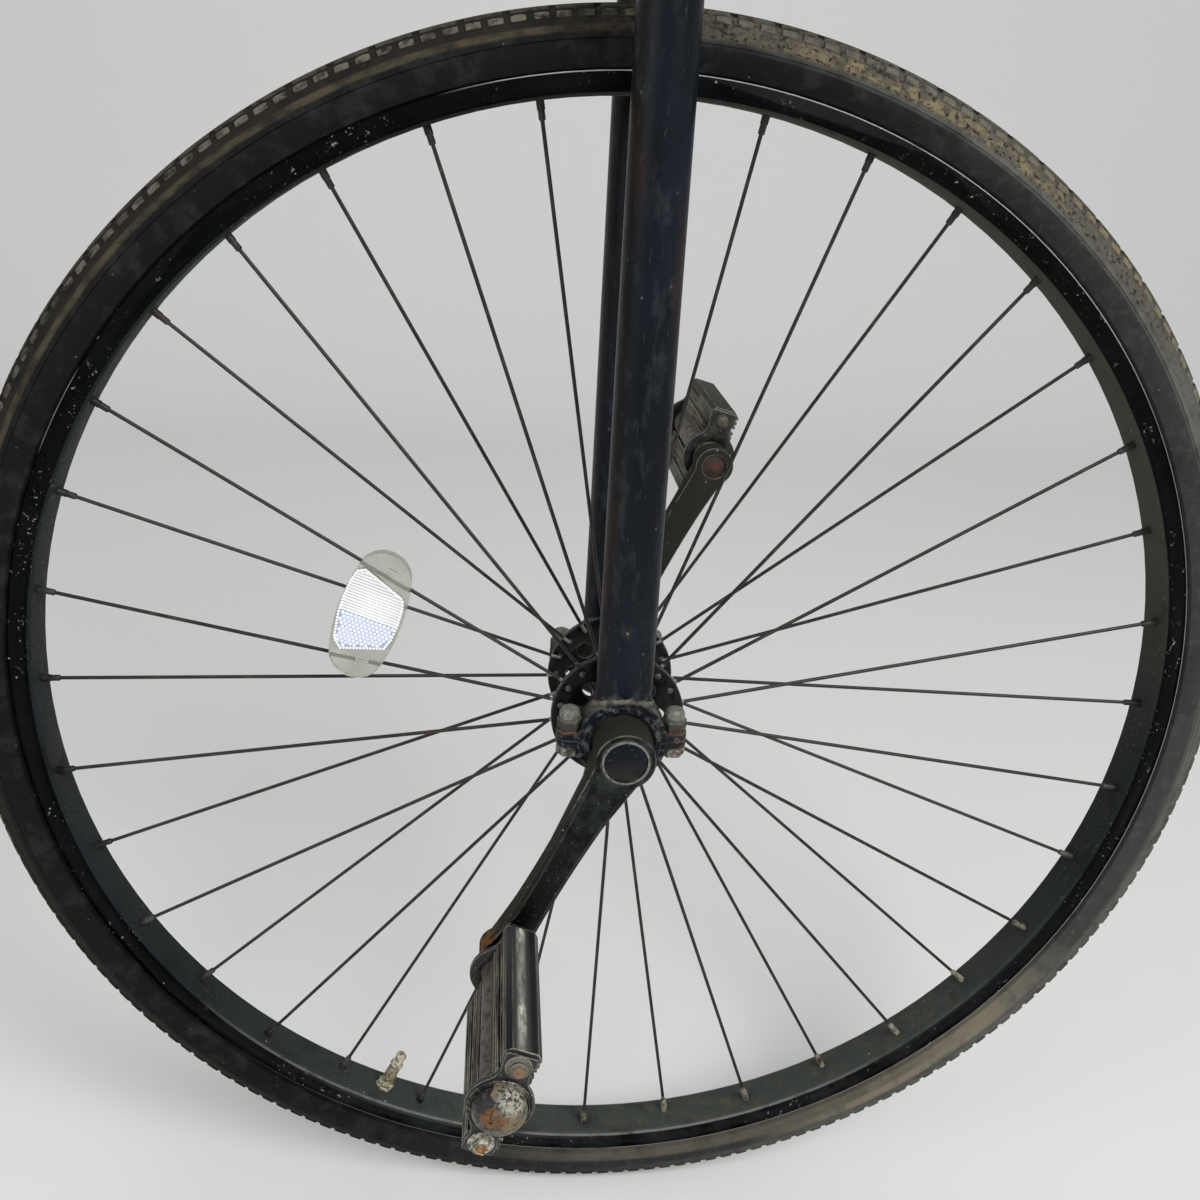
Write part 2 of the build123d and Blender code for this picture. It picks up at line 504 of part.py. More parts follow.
def crank():
    """A forged crank pointing along +X on the right side: boss, bowed waisted arm and eye."""
    root = ((CRANK_BOSS_RADIUS ** 2 - CRANK_ARM_ROOT_HALF_WIDTH ** 2) ** 0.5, CRANK_ARM_ROOT_HALF_WIDTH)
    neck = (CRANK_LENGTH - (CRANK_EYE_RADIUS ** 2 - CRANK_EYE_NECK_HALF_WIDTH ** 2) ** 0.5,
            CRANK_EYE_NECK_HALF_WIDTH)
    waist = (CRANK_WAIST_PLACE, CRANK_WAIST_HALF_WIDTH)

    def below(point):
        """The same point on the arm's other edge."""
        return point[0], -point[1]

    arm_edges = [ThreePointArc(root, waist, neck), Line(neck, below(neck)),
                 ThreePointArc(below(neck), below(waist), below(root)), Line(below(root), root)]
    eye = Pos(CRANK_LENGTH, 0) * Circle(CRANK_EYE_RADIUS)
    front = make_face(arm_edges) + Circle(CRANK_BOSS_RADIUS) + eye
    back_end = -CRANK_BOSS_RADIUS - CUT_SPARE
    reach = CRANK_LENGTH + CRANK_EYE_RADIUS + CUT_SPARE
    side = make_face(Polyline(
        (back_end, CRANK_BOSS_INNER_FACE), (CRANK_BOSS_RADIUS, CRANK_BOSS_INNER_FACE),
        (CRANK_BOSS_RADIUS + CRANK_STEP_RUN, CRANK_ARM_INNER_FACE),
        (CRANK_INNER_RAMP_END, CRANK_EYE_INNER_FACE), (reach, CRANK_EYE_INNER_FACE),
        (reach, CRANK_EYE_OUTER_FACE), (CRANK_OUTER_RAMP_END, CRANK_EYE_OUTER_FACE),
        (CRANK_OUTER_RAMP_START, CRANK_BOSS_OUTER_FACE), (back_end, CRANK_BOSS_OUTER_FACE), close=True))
    blank = along_y(front, CRANK_BOSS_INNER_FACE - CUT_SPARE, CRANK_EYE_OUTER_FACE + CUT_SPARE)
    form = blank & extrude(side, 2 * CRANK_BOSS_RADIUS, both=True)
    sloping = form.faces().filter_by(lambda face: face.normal_at().X < 0 < face.normal_at().Y)
    half_ramp = (CRANK_OUTER_RAMP_END - CRANK_OUTER_RAMP_START) / 2
    long_edges = [edge for edge in sloping.sort_by(Axis.Y)[-1].edges() if edge.length > half_ramp]
    form = chamfer(long_edges, CRANK_EDGE_CHAMFER)
    form -= square_end()
    form -= drum(CRANK_CAP_RADIUS, SQUARE_END, CRANK_BOSS_OUTER_FACE + CUT_SPARE)
    form -= Pos(CRANK_LENGTH, 0, 0) * drum(
        PEDAL_THREAD_RADIUS, CRANK_EYE_INNER_FACE - CUT_SPARE, CRANK_EYE_OUTER_FACE + CUT_SPARE)
    return form


def crank_cap():
    """The dust cap in the crank's mouth, with a raised rim round a shallow dish."""
    top = CRANK_BOSS_OUTER_FACE + CRANK_CAP_STAND
    floor = top - CRANK_CAP_DISH
    inside = CRANK_CAP_RADIUS - CRANK_CAP_RIM
    return spun([(0, top - CRANK_CAP_DEPTH), (CRANK_CAP_RADIUS, top - CRANK_CAP_DEPTH),
                 (CRANK_CAP_RADIUS, top), (inside, top), (inside, floor), (0, floor)])


def pedal_spindle():
    """The pedal's axle: thread in the crank's eye, collar with two flats, tapering shaft."""
    thread_end = CRANK_EYE_INNER_FACE + PEDAL_THREAD_RECESS
    collar_end = CRANK_EYE_OUTER_FACE + PEDAL_COLLAR_LENGTH
    tip = PEDAL_OUTER_PLATE_FACE - PEDAL_SHAFT_STOP
    shaft = spun([(0, thread_end), (PEDAL_THREAD_RADIUS, thread_end),
                  (PEDAL_THREAD_RADIUS, CRANK_EYE_OUTER_FACE), (PEDAL_COLLAR_RADIUS, CRANK_EYE_OUTER_FACE),
                  (PEDAL_COLLAR_RADIUS, collar_end), (PEDAL_SHAFT_RADIUS, collar_end),
                  (PEDAL_SHAFT_TIP_RADIUS, tip), (0, tip)])
    across = 2 * PEDAL_COLLAR_RADIUS
    spare = Box(across, PEDAL_COLLAR_LENGTH, across) - Box(PEDAL_FLATS_WIDTH, PEDAL_COLLAR_LENGTH, across)
    return shaft - Pos(0, (CRANK_EYE_OUTER_FACE + collar_end) / 2, 0) * spare


def pedal_plate_outline():
    """The end plates' outline: a round centre necked down to a squared end over each rod."""
    start = (PEDAL_PLATE_NECK_START, (PEDAL_PLATE_CENTRE_RADIUS ** 2 - PEDAL_PLATE_NECK_START ** 2) ** 0.5)
    neck = (PEDAL_PLATE_NECK_PLACE, PEDAL_PLATE_NECK_HALF_WIDTH)
    rod = (PEDAL_ROD_SPACING / 2, PEDAL_PLATE_END_HALF_WIDTH)
    tip = PEDAL_PLATE_HALF_LENGTH
    half = PEDAL_PLATE_END_HALF_WIDTH
    flat = half - PEDAL_PLATE_CORNER
    arm = make_face([
        ThreePointArc(start, neck, rod),
        Polyline(rod, (tip - PEDAL_PLATE_CORNER, half), (tip, flat), (tip, -flat),
                 (tip - PEDAL_PLATE_CORNER, -half), (rod[0], -rod[1])),
        ThreePointArc((rod[0], -rod[1]), (neck[0], -neck[1]), (start[0], -start[1])),
        Line((start[0], -start[1]), start),
    ])
    hole = Pos(PEDAL_ROD_SPACING / 2, 0) * Circle(PEDAL_ROD_RADIUS + PEDAL_ROD_HOLE_CLEARANCE)
    arm -= hole
    return Circle(PEDAL_PLATE_CENTRE_RADIUS) + arm + Rot(0, 0, 180) * arm


def pedal_plate(face):
    """One pressed end plate, holed for barrel and rods, its inner face at a place along Y."""
    sketch = pedal_plate_outline() - Circle(PEDAL_BARREL_RADIUS + PEDAL_ROD_HOLE_CLEARANCE)
    return along_y(sketch, face, face + PEDAL_PLATE_THICKNESS)


def pedal_barrel():
    """The tube that turns on the spindle, necked at its inner end."""
    inner = PEDAL_BARREL_RADIUS - PEDAL_BARREL_WALL
    neck = PEDAL_SHAFT_RADIUS + RUNNING_GAP
    near = PEDAL_INNER_PLATE_FACE - PEDAL_BARREL_REACH_IN
    far = PEDAL_BARREL_END
    step = near + PEDAL_NECK_LENGTH
    return spun([(neck, near), (PEDAL_BARREL_RADIUS, near), (PEDAL_BARREL_RADIUS, far), (inner, far),
                 (inner, step), (neck, step)])


def pedal_dome():
    """The domed bearing cap pressed over the outer plate, on a crimped skirt."""
    base = PEDAL_OUTER_PLATE_FACE
    shoulder = base + PEDAL_DOME_SKIRT
    crest = base + PEDAL_DOME_HEIGHT
    rise = PEDAL_DOME_HEIGHT - PEDAL_DOME_SKIRT
    ball = (PEDAL_DOME_RADIUS ** 2 + rise ** 2) / (2 * rise)
    half_turn = atan2(PEDAL_DOME_RADIUS, ball - rise) / 2
    bulge = ThreePointArc((PEDAL_DOME_RADIUS, shoulder),
                          (ball * sin(half_turn), crest - ball * (1 - cos(half_turn))), (0, crest))
    mouth = PEDAL_BARREL_RADIUS + SOCKET_CLEARANCE
    floor = PEDAL_BARREL_END + SOCKET_CLEARANCE
    rest = Polyline((0, crest), (0, floor), (mouth, floor), (mouth, base), (PEDAL_DOME_SKIRT_RADIUS, base),
                    (PEDAL_DOME_SKIRT_RADIUS, shoulder), (PEDAL_DOME_RADIUS, shoulder))
    return revolve(make_face([bulge, rest]), Axis.Y)


def pedal_rods():
    """Two through rods with a riveted head inside and a riveted washer outside."""
    inner = PEDAL_INNER_PLATE_FACE
    outer = PEDAL_OUTER_PLATE_FACE
    rod = drum(PEDAL_ROD_RADIUS, inner, outer)
    head = drum(PEDAL_RIVET_HEAD_RADIUS, inner - PEDAL_RIVET_HEAD_HEIGHT, inner)
    washer = drum(PEDAL_WASHER_RADIUS, outer, outer + PEDAL_WASHER_HEIGHT)
    rivet = drum(PEDAL_RIVET_RADIUS, outer, outer + PEDAL_RIVET_HEIGHT)
    whole = rod + head + washer + rivet
    return [Pos(side * PEDAL_ROD_SPACING / 2, 0, 0) * whole for side in (-1, 1)]


def pedal_block():
    """The rubber block on the +X rod: grooved broad faces, hollowed inboard to clear the barrel."""
    middle = (PEDAL_BLOCK_OUTBOARD + PEDAL_BLOCK_INBOARD) / 2
    half_thick = PEDAL_BLOCK_THICKNESS / 2
    near = PEDAL_INNER_PLATE_FACE + PEDAL_PLATE_THICKNESS
    section = Pos(middle, -PEDAL_BLOCK_OFFSET) * Rectangle(
        PEDAL_BLOCK_OUTBOARD - PEDAL_BLOCK_INBOARD, PEDAL_BLOCK_THICKNESS)
    section = chamfer(section.vertices().group_by(Axis.X)[-1], PEDAL_BLOCK_CHAMFER)
    for step in range(TREAD_GROOVES):
        place = middle + TREAD_GROOVE_PITCH * (step - (TREAD_GROOVES - 1) / 2)
        main = step == TREAD_GROOVES // 2
        width = TREAD_MAIN_WIDTH if main else TREAD_GROOVE_WIDTH
        depth = TREAD_MAIN_DEPTH if main else TREAD_GROOVE_DEPTH
        for face in (-1, 1):
            section -= Pos(place, face * half_thick - PEDAL_BLOCK_OFFSET) * Rectangle(width, 2 * depth)
    section -= Pos(PEDAL_ROD_SPACING / 2, 0) * Circle(PEDAL_ROD_RADIUS + PEDAL_ROD_HOLE_CLEARANCE)
    section -= Circle(PEDAL_BARREL_RADIUS + PEDAL_BLOCK_HOLLOW_GAP)
    return along_y(section, near, near + PEDAL_BLOCK_LENGTH)


def pedal_blocks():
    """The two rubber blocks, one on each rod."""
    block = pedal_block()
    return [block, mirror(block, Plane.YZ)]


def on_spokes(shape):
    """Seat a shape, drawn flat with its back at Y = 0, on the outside of the left spokes."""
    run = RIM_BED_RADIUS - SPOKE_CIRCLE_RADIUS
    rise = FLANGE_INNER_FACE - SPOKE_ELBOW_RADIUS - SPOKE_RIM_OFFSET
    along = (REFLECTOR_RADIAL_PLACE - SPOKE_CIRCLE_RADIUS) / run
    wire_y = FLANGE_INNER_FACE - SPOKE_ELBOW_RADIUS - rise * along
    tilt = degrees(atan2(rise, run))
    seated = Rot(0, 0, tilt) * Rot(0, -REFLECTOR_TURN, 0) * shape
    back = -wire_y - (SPOKE_RADIUS + REFLECTOR_GAP) / cos(radians(tilt))
    return turned(Pos(REFLECTOR_RADIAL_PLACE, back, 0) * seated, REFLECTOR_ANGLE)


def reflector_outline(length, width, end_width):
    """A barrel-shaped oval, its length along the second axis."""
    half_length, half_width, half_end = length / 2, width / 2, end_width / 2
    shoulder = half_length - REFLECTOR_END_RISE
    arcs = [ThreePointArc((half_end, -shoulder), (half_width, 0), (half_end, shoulder)),
            ThreePointArc((half_end, shoulder), (0, half_length), (-half_end, shoulder)),
            ThreePointArc((-half_end, shoulder), (-half_width, 0), (-half_end, -shoulder)),
            ThreePointArc((-half_end, -shoulder), (0, -half_length), (half_end, -shoulder))]
    return make_face(arcs)


def reflector_body():
    """The clear moulded body, with a pocket in its front for the lens."""
    outline = reflector_outline(REFLECTOR_LENGTH, REFLECTOR_WIDTH, REFLECTOR_END_WIDTH)
    body = Pos(0, 0, REFLECTOR_CASE_DROP) * along_y(outline, -REFLECTOR_THICKNESS, 0)
    pocket = along_y(offset(reflector_lens_outline(), REFLECTOR_GAP),
                     -REFLECTOR_THICKNESS - CUT_SPARE, -REFLECTOR_POCKET_FLOOR)
    return on_spokes(body - pocket)


def reflector_lens_outline():
    """The lens panel's outline, one side cut back parallel to the spoke beside it."""
    corners = [(x * REFLECTOR_WIDTH / 2, z * REFLECTOR_LENGTH / 2) for x, z in REFLECTOR_LENS_CORNERS]
    return make_face(Polyline(*corners, close=True))


def reflector_lens():
    """The prismatic lens panel, standing a little out of its pocket."""
    front = -REFLECTOR_THICKNESS - REFLECTOR_LENS_RISE
    return on_spokes(along_y(reflector_lens_outline(), front, -REFLECTOR_POCKET_FLOOR))


def valve():
    """The inner tube's valve: stem through the rim, locknut, and a thicker cap nut."""
    start = RIM_BED_RADIUS - VALVE_LENGTH
    standing = (Align.CENTER, Align.CENTER, Align.MIN)
    stem = Pos(0, 0, start) * Cylinder(VALVE_STEM_RADIUS, VALVE_LENGTH + VALVE_STEM_INSIDE, align=standing)
    seat = RIM_BED_RADIUS - SOCKET_CLEARANCE
    nut = extrude(Plane.XY.offset(seat) * hexagon(VALVE_NUT_ACROSS_FLATS), -VALVE_NUT_HEIGHT)
    cap = Pos(0, 0, start + VALVE_TIP_LENGTH) * Cylinder(VALVE_CAP_RADIUS, VALVE_CAP_LENGTH, align=standing)
    return turned(Rot(0, 90, 0) * (stem + nut + cap), VALVE_ANGLE)


def at_pedal(shape, side, platform_angle):
    """Turn a pedal piece to its platform angle and set it on its crank's eye."""
    crank_angle = CRANK_ANGLE if side > 0 else CRANK_ANGLE + 180.0
    eye = (CRANK_LENGTH * cos(radians(crank_angle)), 0, CRANK_LENGTH * sin(radians(crank_angle)))
    pieces = shape if isinstance(shape, list) else [shape]
    placed = []
    for piece in pieces:
        handed = piece if side > 0 else left_of(piece)
        placed.append(Pos(*eye) * turned(handed, platform_angle))
    return placed


def nodes():
    """Every node's name with its solids, in the frame of the axle."""
    made = {
        "steerer": steerer(), "crown_race": crown_race(), "fork_crown": fork_crown(),
        "tyre": tyre(), "rim": rim(), "spokes_left": spokes(-1), "spokes_right": spokes(1),
        "hub_shell": hub_shell(), "axle": axle(), "reflector_body": reflector_body(),
        "reflector_lens": reflector_lens(), "valve": valve(),
    }
    paired = {
        "fork_blade": fork_blade(), "bearing_holder": holder_half(upper=True),
        "bearing_cap": holder_half(upper=False), "holder_bolts": holder_bolts(),
        "bearing_outer": bearing_outer_ring(), "bearing_inner": bearing_inner_ring(),
    }
    for name, shape in paired.items():
        pieces = shape if isinstance(shape, list) else [shape]
        made[name + "_right"] = pieces
        made[name + "_left"] = [left_of(piece) for piece in pieces]
    on_crank = {"crank": crank(), "crank_cap": crank_cap()}
    for name, shape in on_crank.items():
        made[name + "_right"] = turned(shape, CRANK_ANGLE)
        made[name + "_left"] = turned(left_of(shape), CRANK_ANGLE + 180.0)
    on_pedal = {
        "pedal_spindle": pedal_spindle(), "pedal_barrel": pedal_barrel(), "pedal_dome": pedal_dome(),
        "pedal_inner_plate": pedal_plate(PEDAL_INNER_PLATE_FACE),
        "pedal_outer_plate": pedal_plate(PEDAL_OUTER_PLATE_FACE - PEDAL_PLATE_THICKNESS),
        "pedal_rods": pedal_rods(), "pedal_blocks": pedal_blocks(),
    }
    for name, shape in on_pedal.items():
        made[name + "_right"] = at_pedal(shape, 1, PEDAL_ANGLE_RIGHT)
        made[name + "_left"] = at_pedal(shape, -1, PEDAL_ANGLE_LEFT)
    return made


def write_parts():
    """Set each node down so that the steerer's foot is the origin, and write it."""
    os.makedirs("parts", exist_ok=True)
    for name, shape in nodes().items():
        pieces = shape if isinstance(shape, list) else [shape]
        placed = [Pos(0, 0, -AXLE_DROP) * piece for piece in pieces]
        export_step(placed[0] if len(placed) == 1 else Compound(placed), f"parts/{name}.step")


write_parts()
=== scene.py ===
"""Looks of a penny farthing's driving wheel in its fork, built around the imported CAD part.

Every sub-assembly is a class that holds its sizes in millimetres, models its pieces with Blender's
own tools and dresses them. Every finish is a small class named for the real material. The row's
frame is used throughout: the axle lies along Y, Z is up, and the machine's left side is -Y.
"""
import json
import logging
import math
from dataclasses import dataclass
from enum import Enum
from typing import Iterable, Optional, Sequence, Union

import bpy
import numpy as np
from mathutils import Matrix, Vector


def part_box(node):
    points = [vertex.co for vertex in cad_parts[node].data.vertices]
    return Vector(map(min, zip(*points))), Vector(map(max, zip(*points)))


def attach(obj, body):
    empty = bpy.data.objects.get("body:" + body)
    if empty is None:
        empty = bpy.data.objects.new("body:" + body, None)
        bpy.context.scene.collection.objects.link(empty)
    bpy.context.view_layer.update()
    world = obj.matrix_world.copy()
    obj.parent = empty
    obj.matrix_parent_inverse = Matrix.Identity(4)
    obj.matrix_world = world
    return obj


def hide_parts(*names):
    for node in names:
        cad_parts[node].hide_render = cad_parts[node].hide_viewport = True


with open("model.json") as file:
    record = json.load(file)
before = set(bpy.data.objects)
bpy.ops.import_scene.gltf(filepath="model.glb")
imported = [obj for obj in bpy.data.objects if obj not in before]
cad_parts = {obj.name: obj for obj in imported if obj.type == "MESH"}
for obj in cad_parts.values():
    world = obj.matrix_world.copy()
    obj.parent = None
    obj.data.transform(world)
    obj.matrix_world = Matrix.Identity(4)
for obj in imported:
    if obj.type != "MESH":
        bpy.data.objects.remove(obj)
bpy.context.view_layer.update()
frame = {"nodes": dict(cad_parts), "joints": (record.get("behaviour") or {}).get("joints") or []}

LOG = logging.getLogger("wheel")
MM = 0.001
UP = Vector((0, 0, 1))
AHEAD = Vector((1, 0, 0))
ACROSS = Vector((0, 1, 0))
SHARP = 34.0
Material = bpy.types.Material
Piece = bpy.types.Object
Socket = bpy.types.NodeSocket
Value = Union[float, tuple, Vector, Socket]


def joint_place(name: str) -> Vector:
    """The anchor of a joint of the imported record, in metres."""
    return Vector(next(joint["pos_m"] for joint in frame["joints"] if joint["name"] == name))


AXLE = joint_place("wheel_spin")


class Side(Enum):
    """The machine's two sides, by the sign of Y."""

    LEFT = -1
    RIGHT = 1

    @property
    def outward(self) -> Vector:
        """The direction away from the wheel on this side."""
        return ACROSS * self.value

    @property
    def tag(self) -> str:
        """The side's word in node names."""
        return self.name.lower()


# ---------------------------------------------------------------- placing and modelling


def site(origin: Vector, outward: Vector, zero: Vector) -> Matrix:
    """A placing whose Z axis points outward and whose X axis points along zero.

    Args:
        origin: where the piece's own origin goes, in metres.
        outward: the direction of the piece's Z axis.
        zero: the direction that the piece's X axis follows as nearly as it can.

    Returns:
        The 4x4 placing.
    """
    z_axis = outward.normalized()
    x_axis = (zero - z_axis * zero.dot(z_axis)).normalized()
    placing = Matrix((x_axis, z_axis.cross(x_axis), z_axis)).transposed().to_4x4()
    placing.translation = origin
    return placing


def raised(placing: Matrix, height: float) -> Matrix:
    """A placing moved along its own Z axis, by a height in millimetres."""
    return placing @ Matrix.Translation((0, 0, height * MM))


def turned_about_axle(degrees: float) -> Matrix:
    """The turn about the axle by an angle from +X towards +Z, in degrees."""
    turn = Matrix.Rotation(-math.radians(degrees), 4, "Y")
    return Matrix.Translation(AXLE) @ turn @ Matrix.Translation(-AXLE)


def in_wheel_plane(degrees: float) -> Vector:
    """The direction in the wheel's plane at an angle from +X towards +Z, in degrees."""
    return Vector((math.cos(math.radians(degrees)), 0, math.sin(math.radians(degrees))))


def lay_down_tools() -> None:
    """Leave edit mode and deselect every object."""
    if bpy.context.mode != "OBJECT":
        bpy.ops.object.mode_set(mode="OBJECT")
    bpy.ops.object.select_all(action="DESELECT")


def take(piece: Piece) -> None:
    """Make one piece the selected and active object.

    Args:
        piece: the piece to work on.
    """
    lay_down_tools()
    piece.select_set(True)
    bpy.context.view_layer.objects.active = piece


def begin(name: str, mode: str = "VERT") -> Piece:
    """Name the primitive just added, open it in edit mode and select all of it.

    Args:
        name: the piece's name.
        mode: the select mode to work in.

    Returns:
        The new piece.
    """
    piece = bpy.context.object
    piece.name = name
    bpy.ops.object.mode_set(mode="EDIT")
    bpy.ops.mesh.select_mode(type=mode)
    bpy.ops.mesh.select_all(action="SELECT")
    return piece


def mark(piece: Piece, chosen: Sequence[bool], kind: str = "FACE") -> None:
    """Open a piece in edit mode with chosen faces, edges or points selected.

    Args:
        piece: the mesh object.
        chosen: one truth value for each face, edge or point.
        kind: FACE, EDGE or VERT.
    """
    take(piece)
    bpy.ops.object.mode_set(mode="EDIT")
    bpy.ops.mesh.select_mode(type=kind)
    bpy.ops.mesh.select_all(action="DESELECT")
    bpy.ops.object.mode_set(mode="OBJECT")
    mesh = piece.data
    items = {"FACE": mesh.polygons, "EDGE": mesh.edges, "VERT": mesh.vertices}[kind]
    items.foreach_set("select", np.asarray(chosen, bool))
    bpy.ops.object.mode_set(mode="EDIT")


def face_centres(piece: Piece) -> np.ndarray:
    """The centres of a piece's faces.

    Args:
        piece: the mesh object.

    Returns:
        One row of x, y and z for each face, in millimetres.
    """
    centres = np.zeros(len(piece.data.polygons) * 3)
    piece.data.polygons.foreach_get("center", centres)
    return centres.reshape(-1, 3) / MM


def close_up(piece: Piece, gap: float = 0.005, angle: float = 32.0) -> Piece:
    """Merge doubles, close open ends, turn the faces outwards and shade the piece.

    Args:
        piece: the mesh object.
        gap: points nearer than this are merged, in millimetres.
        angle: edges sharper than this stay sharp, in degrees.

    Returns:
        The piece.
    """
    take(piece)
    bpy.ops.object.mode_set(mode="EDIT")
    bpy.ops.mesh.select_all(action="SELECT")
    bpy.ops.mesh.remove_doubles(threshold=gap * MM)
    bpy.ops.mesh.fill_holes(sides=0)
    bpy.ops.mesh.normals_make_consistent(inside=False)
    bpy.ops.object.mode_set(mode="OBJECT")
    bpy.ops.object.shade_smooth_by_angle(angle=math.radians(angle))
    return piece


def settle(piece: Piece, placing: Matrix) -> Piece:
    """Put a piece in its place and apply it, so that its object stays at the origin.

    Args:
        piece: the mesh object.
        placing: where it goes.

    Returns:
        The piece.
    """
    take(piece)
    piece.matrix_world = placing
    bpy.ops.object.transform_apply(location=True, rotation=True, scale=True)
    return piece


def turned(name: str, profile: Sequence[tuple], steps: int, placing: Optional[Matrix] = None,
           angle: float = 32.0) -> Piece:
    """A piece turned about its Z axis, as on a lathe.

    Args:
        name: the piece's name.
        profile: (radius, height) points in millimetres; a ring's profile ends where it starts.
        steps: how many faces go round.
        placing: where the piece goes.
        angle: edges sharper than this stay sharp, in degrees.

    Returns:
        The finished piece.
    """
    points = [Vector((radius, 0, height)) * MM for radius, height in profile]
    lay_down_tools()
    bpy.ops.mesh.primitive_plane_add(size=MM)
    piece = begin(name)
    bpy.ops.mesh.merge(type="CENTER")
    bpy.ops.transform.translate(value=points[0])
    for before, after in zip(points, points[1:]):
        bpy.ops.mesh.extrude_region_move(TRANSFORM_OT_translate={"value": after - before})
    bpy.ops.mesh.select_all(action="SELECT")
    bpy.ops.mesh.spin(steps=steps, angle=math.tau, center=(0, 0, 0), axis=(0, 0, 1))
    close_up(piece, angle=angle)
    return settle(piece, placing) if placing else piece


def hexagon(name: str, across_flats: float, low: float, high: float, chamfer: float,
            placing: Matrix) -> Piece:
    """A hexagonal prism along Z with its end edges chamfered, such as a nut.

    Args:
        name: the piece's name.
        across_flats: the size over two flats, in millimetres.
        low: where it starts along Z, in millimetres.
        high: where it ends along Z, in millimetres.
        chamfer: the width cut from its end edges, in millimetres.
        placing: where the piece goes.

    Returns:
        The finished piece.
    """
    middle = (high + low) / 2 * MM
    lay_down_tools()
    bpy.ops.mesh.primitive_cylinder_add(
        vertices=6, radius=across_flats / 2 / math.cos(math.pi / 6) * MM, depth=(high - low) * MM,
        location=(0, 0, middle))
    piece = bpy.context.object
    piece.name = name
    bpy.ops.object.transform_apply(location=True)
    points = piece.data.vertices
    rims = [(points[a].co.z - middle) * (points[b].co.z - middle) > 0
            for a, b in (edge.vertices for edge in piece.data.edges)]
    mark(piece, rims, "EDGE")
    bpy.ops.mesh.bevel(offset=chamfer * MM, segments=2, affect="EDGES")
    return settle(close_up(piece), placing)


def copy_of(piece: Piece, name: str) -> Piece:
    """A copy of a piece with its own mesh.

    Args:
        piece: the piece to copy.
        name: the copy's name.

    Returns:
        The copy.
    """
    made = bpy.data.objects.new(name, piece.data.copy())
    bpy.context.collection.objects.link(made)
    return made


def join(pieces: Sequence[Piece], name: str) -> Piece:
    """Join pieces of one finish into one object.

    Args:
        pieces: the pieces; the first one takes in the rest.
        name: the joined piece's name.

    Returns:
        The joined piece.
    """
    take(pieces[0])
    for piece in pieces[1:]:
        piece.select_set(True)
    if len(pieces) > 1:
        bpy.ops.object.join()
    pieces[0].name = name
    return pieces[0]


def round_the_axle(piece: Piece, angles: Iterable[float], name: str) -> Piece:
    """Copies of one piece turned about the axle to each angle, joined.

    Args:
        piece: the piece as it stands at zero degrees; it is used up.
        angles: the angles in degrees, from +X towards +Z.
        name: the joined piece's name.

    Returns:
        The joined piece.
    """
    copies = [settle(copy_of(piece, name), turned_about_axle(angle)) for angle in angles]
    bpy.data.objects.remove(piece)
    return join(copies, name)


def softened(node: str, name: str, width: float, segments: int = 2, limit: float = SHARP) -> Piece:
    """A copy of a CAD node with its triangles merged and its sharp edges rounded.

    Args:
        node: the CAD node's name.
        name: the new piece's name.
        width: the rounding's width in millimetres, or 0 to round nothing.
        segments: the rounding's faces.
        limit: only edges sharper than this are rounded, in degrees.

    Returns:
        The new piece, at the node's own place.
    """
    piece = copy_of(frame["nodes"][node], name)
    piece.data.materials.clear()
    take(piece)
    if piece.data.has_custom_normals:
        bpy.ops.mesh.customdata_custom_splitnormals_clear()
    bpy.ops.object.mode_set(mode="EDIT")
    bpy.ops.mesh.select_mode(type="VERT")
    bpy.ops.mesh.select_all(action="SELECT")
    bpy.ops.mesh.remove_doubles(threshold=0.002 * MM)
    bpy.ops.mesh.dissolve_limited(angle_limit=math.radians(0.6))
    bpy.ops.object.mode_set(mode="OBJECT")
    if width > 0:
        rounding = piece.modifiers.new("rounding", "BEVEL")
        rounding.width = width * MM
        rounding.segments = segments
        rounding.limit_method = "ANGLE"
        rounding.angle_limit = math.radians(limit)
        rounding.harden_normals = False
        bpy.ops.object.modifier_apply(modifier=rounding.name)
    return close_up(piece, gap=0.001, angle=limit)


def dress(piece: Piece, material: Material, body: str, slot: str, *nodes: str) -> None:
    """Give a piece its finish and its body, and hide the CAD nodes that it stands for.

    Args:
        piece: the finished piece.
        material: its finish.
        body: the CAD body that it rides on.
        slot: the record's material slot; not used.
        nodes: the CAD nodes that it replaces.
    """
    lay_down_tools()
    piece.data.materials.clear()
    piece.data.materials.append(material)
    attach(piece, body)
    if nodes:
        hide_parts(*nodes)
    LOG.info("%s rides on %s, %d faces", piece.name, body, len(piece.data.polygons))


def refit(node: str, name: str, rounding: tuple, material: Material, body: str, slot: str) -> None:
    """Put a rounded and dressed copy in the place of a CAD node.

    Args:
        node: the CAD node's name.
        name: the copy's name.
        rounding: the width, the faces and the angle limit that softened takes, as far as needed.
        material: the copy's finish.
        body: the CAD body that it rides on.
        slot: the record's material slot.
    """
    dress(softened(node, name, *rounding), material, body, slot, node)


def paint_node(node: str, material: Material) -> None:
    """Give a CAD node that stays its finish.

    Args:
        node: the CAD node's name.
        material: its finish.
    """
    mesh = frame["nodes"][node].data
    mesh.materials.clear()
    mesh.materials.append(material)


# ---------------------------------------------------------------- finishes

# Orange peel, grit and hair scratches are finer than a pixel of the render. Their patterns, which are
# 0.7 to 2.5 mm in size, are drawn as coarse as they need to be to show.


def linear(hex_colour: str) -> tuple:
    """An sRGB hex colour as linear RGBA."""
    parts = [int(hex_colour[at:at + 2], 16) / 255 for at in (1, 3, 5)]
    return tuple(p / 12.92 if p <= 0.04045 else ((p + 0.055) / 1.055) ** 2.4 for p in parts) + (1.0,)


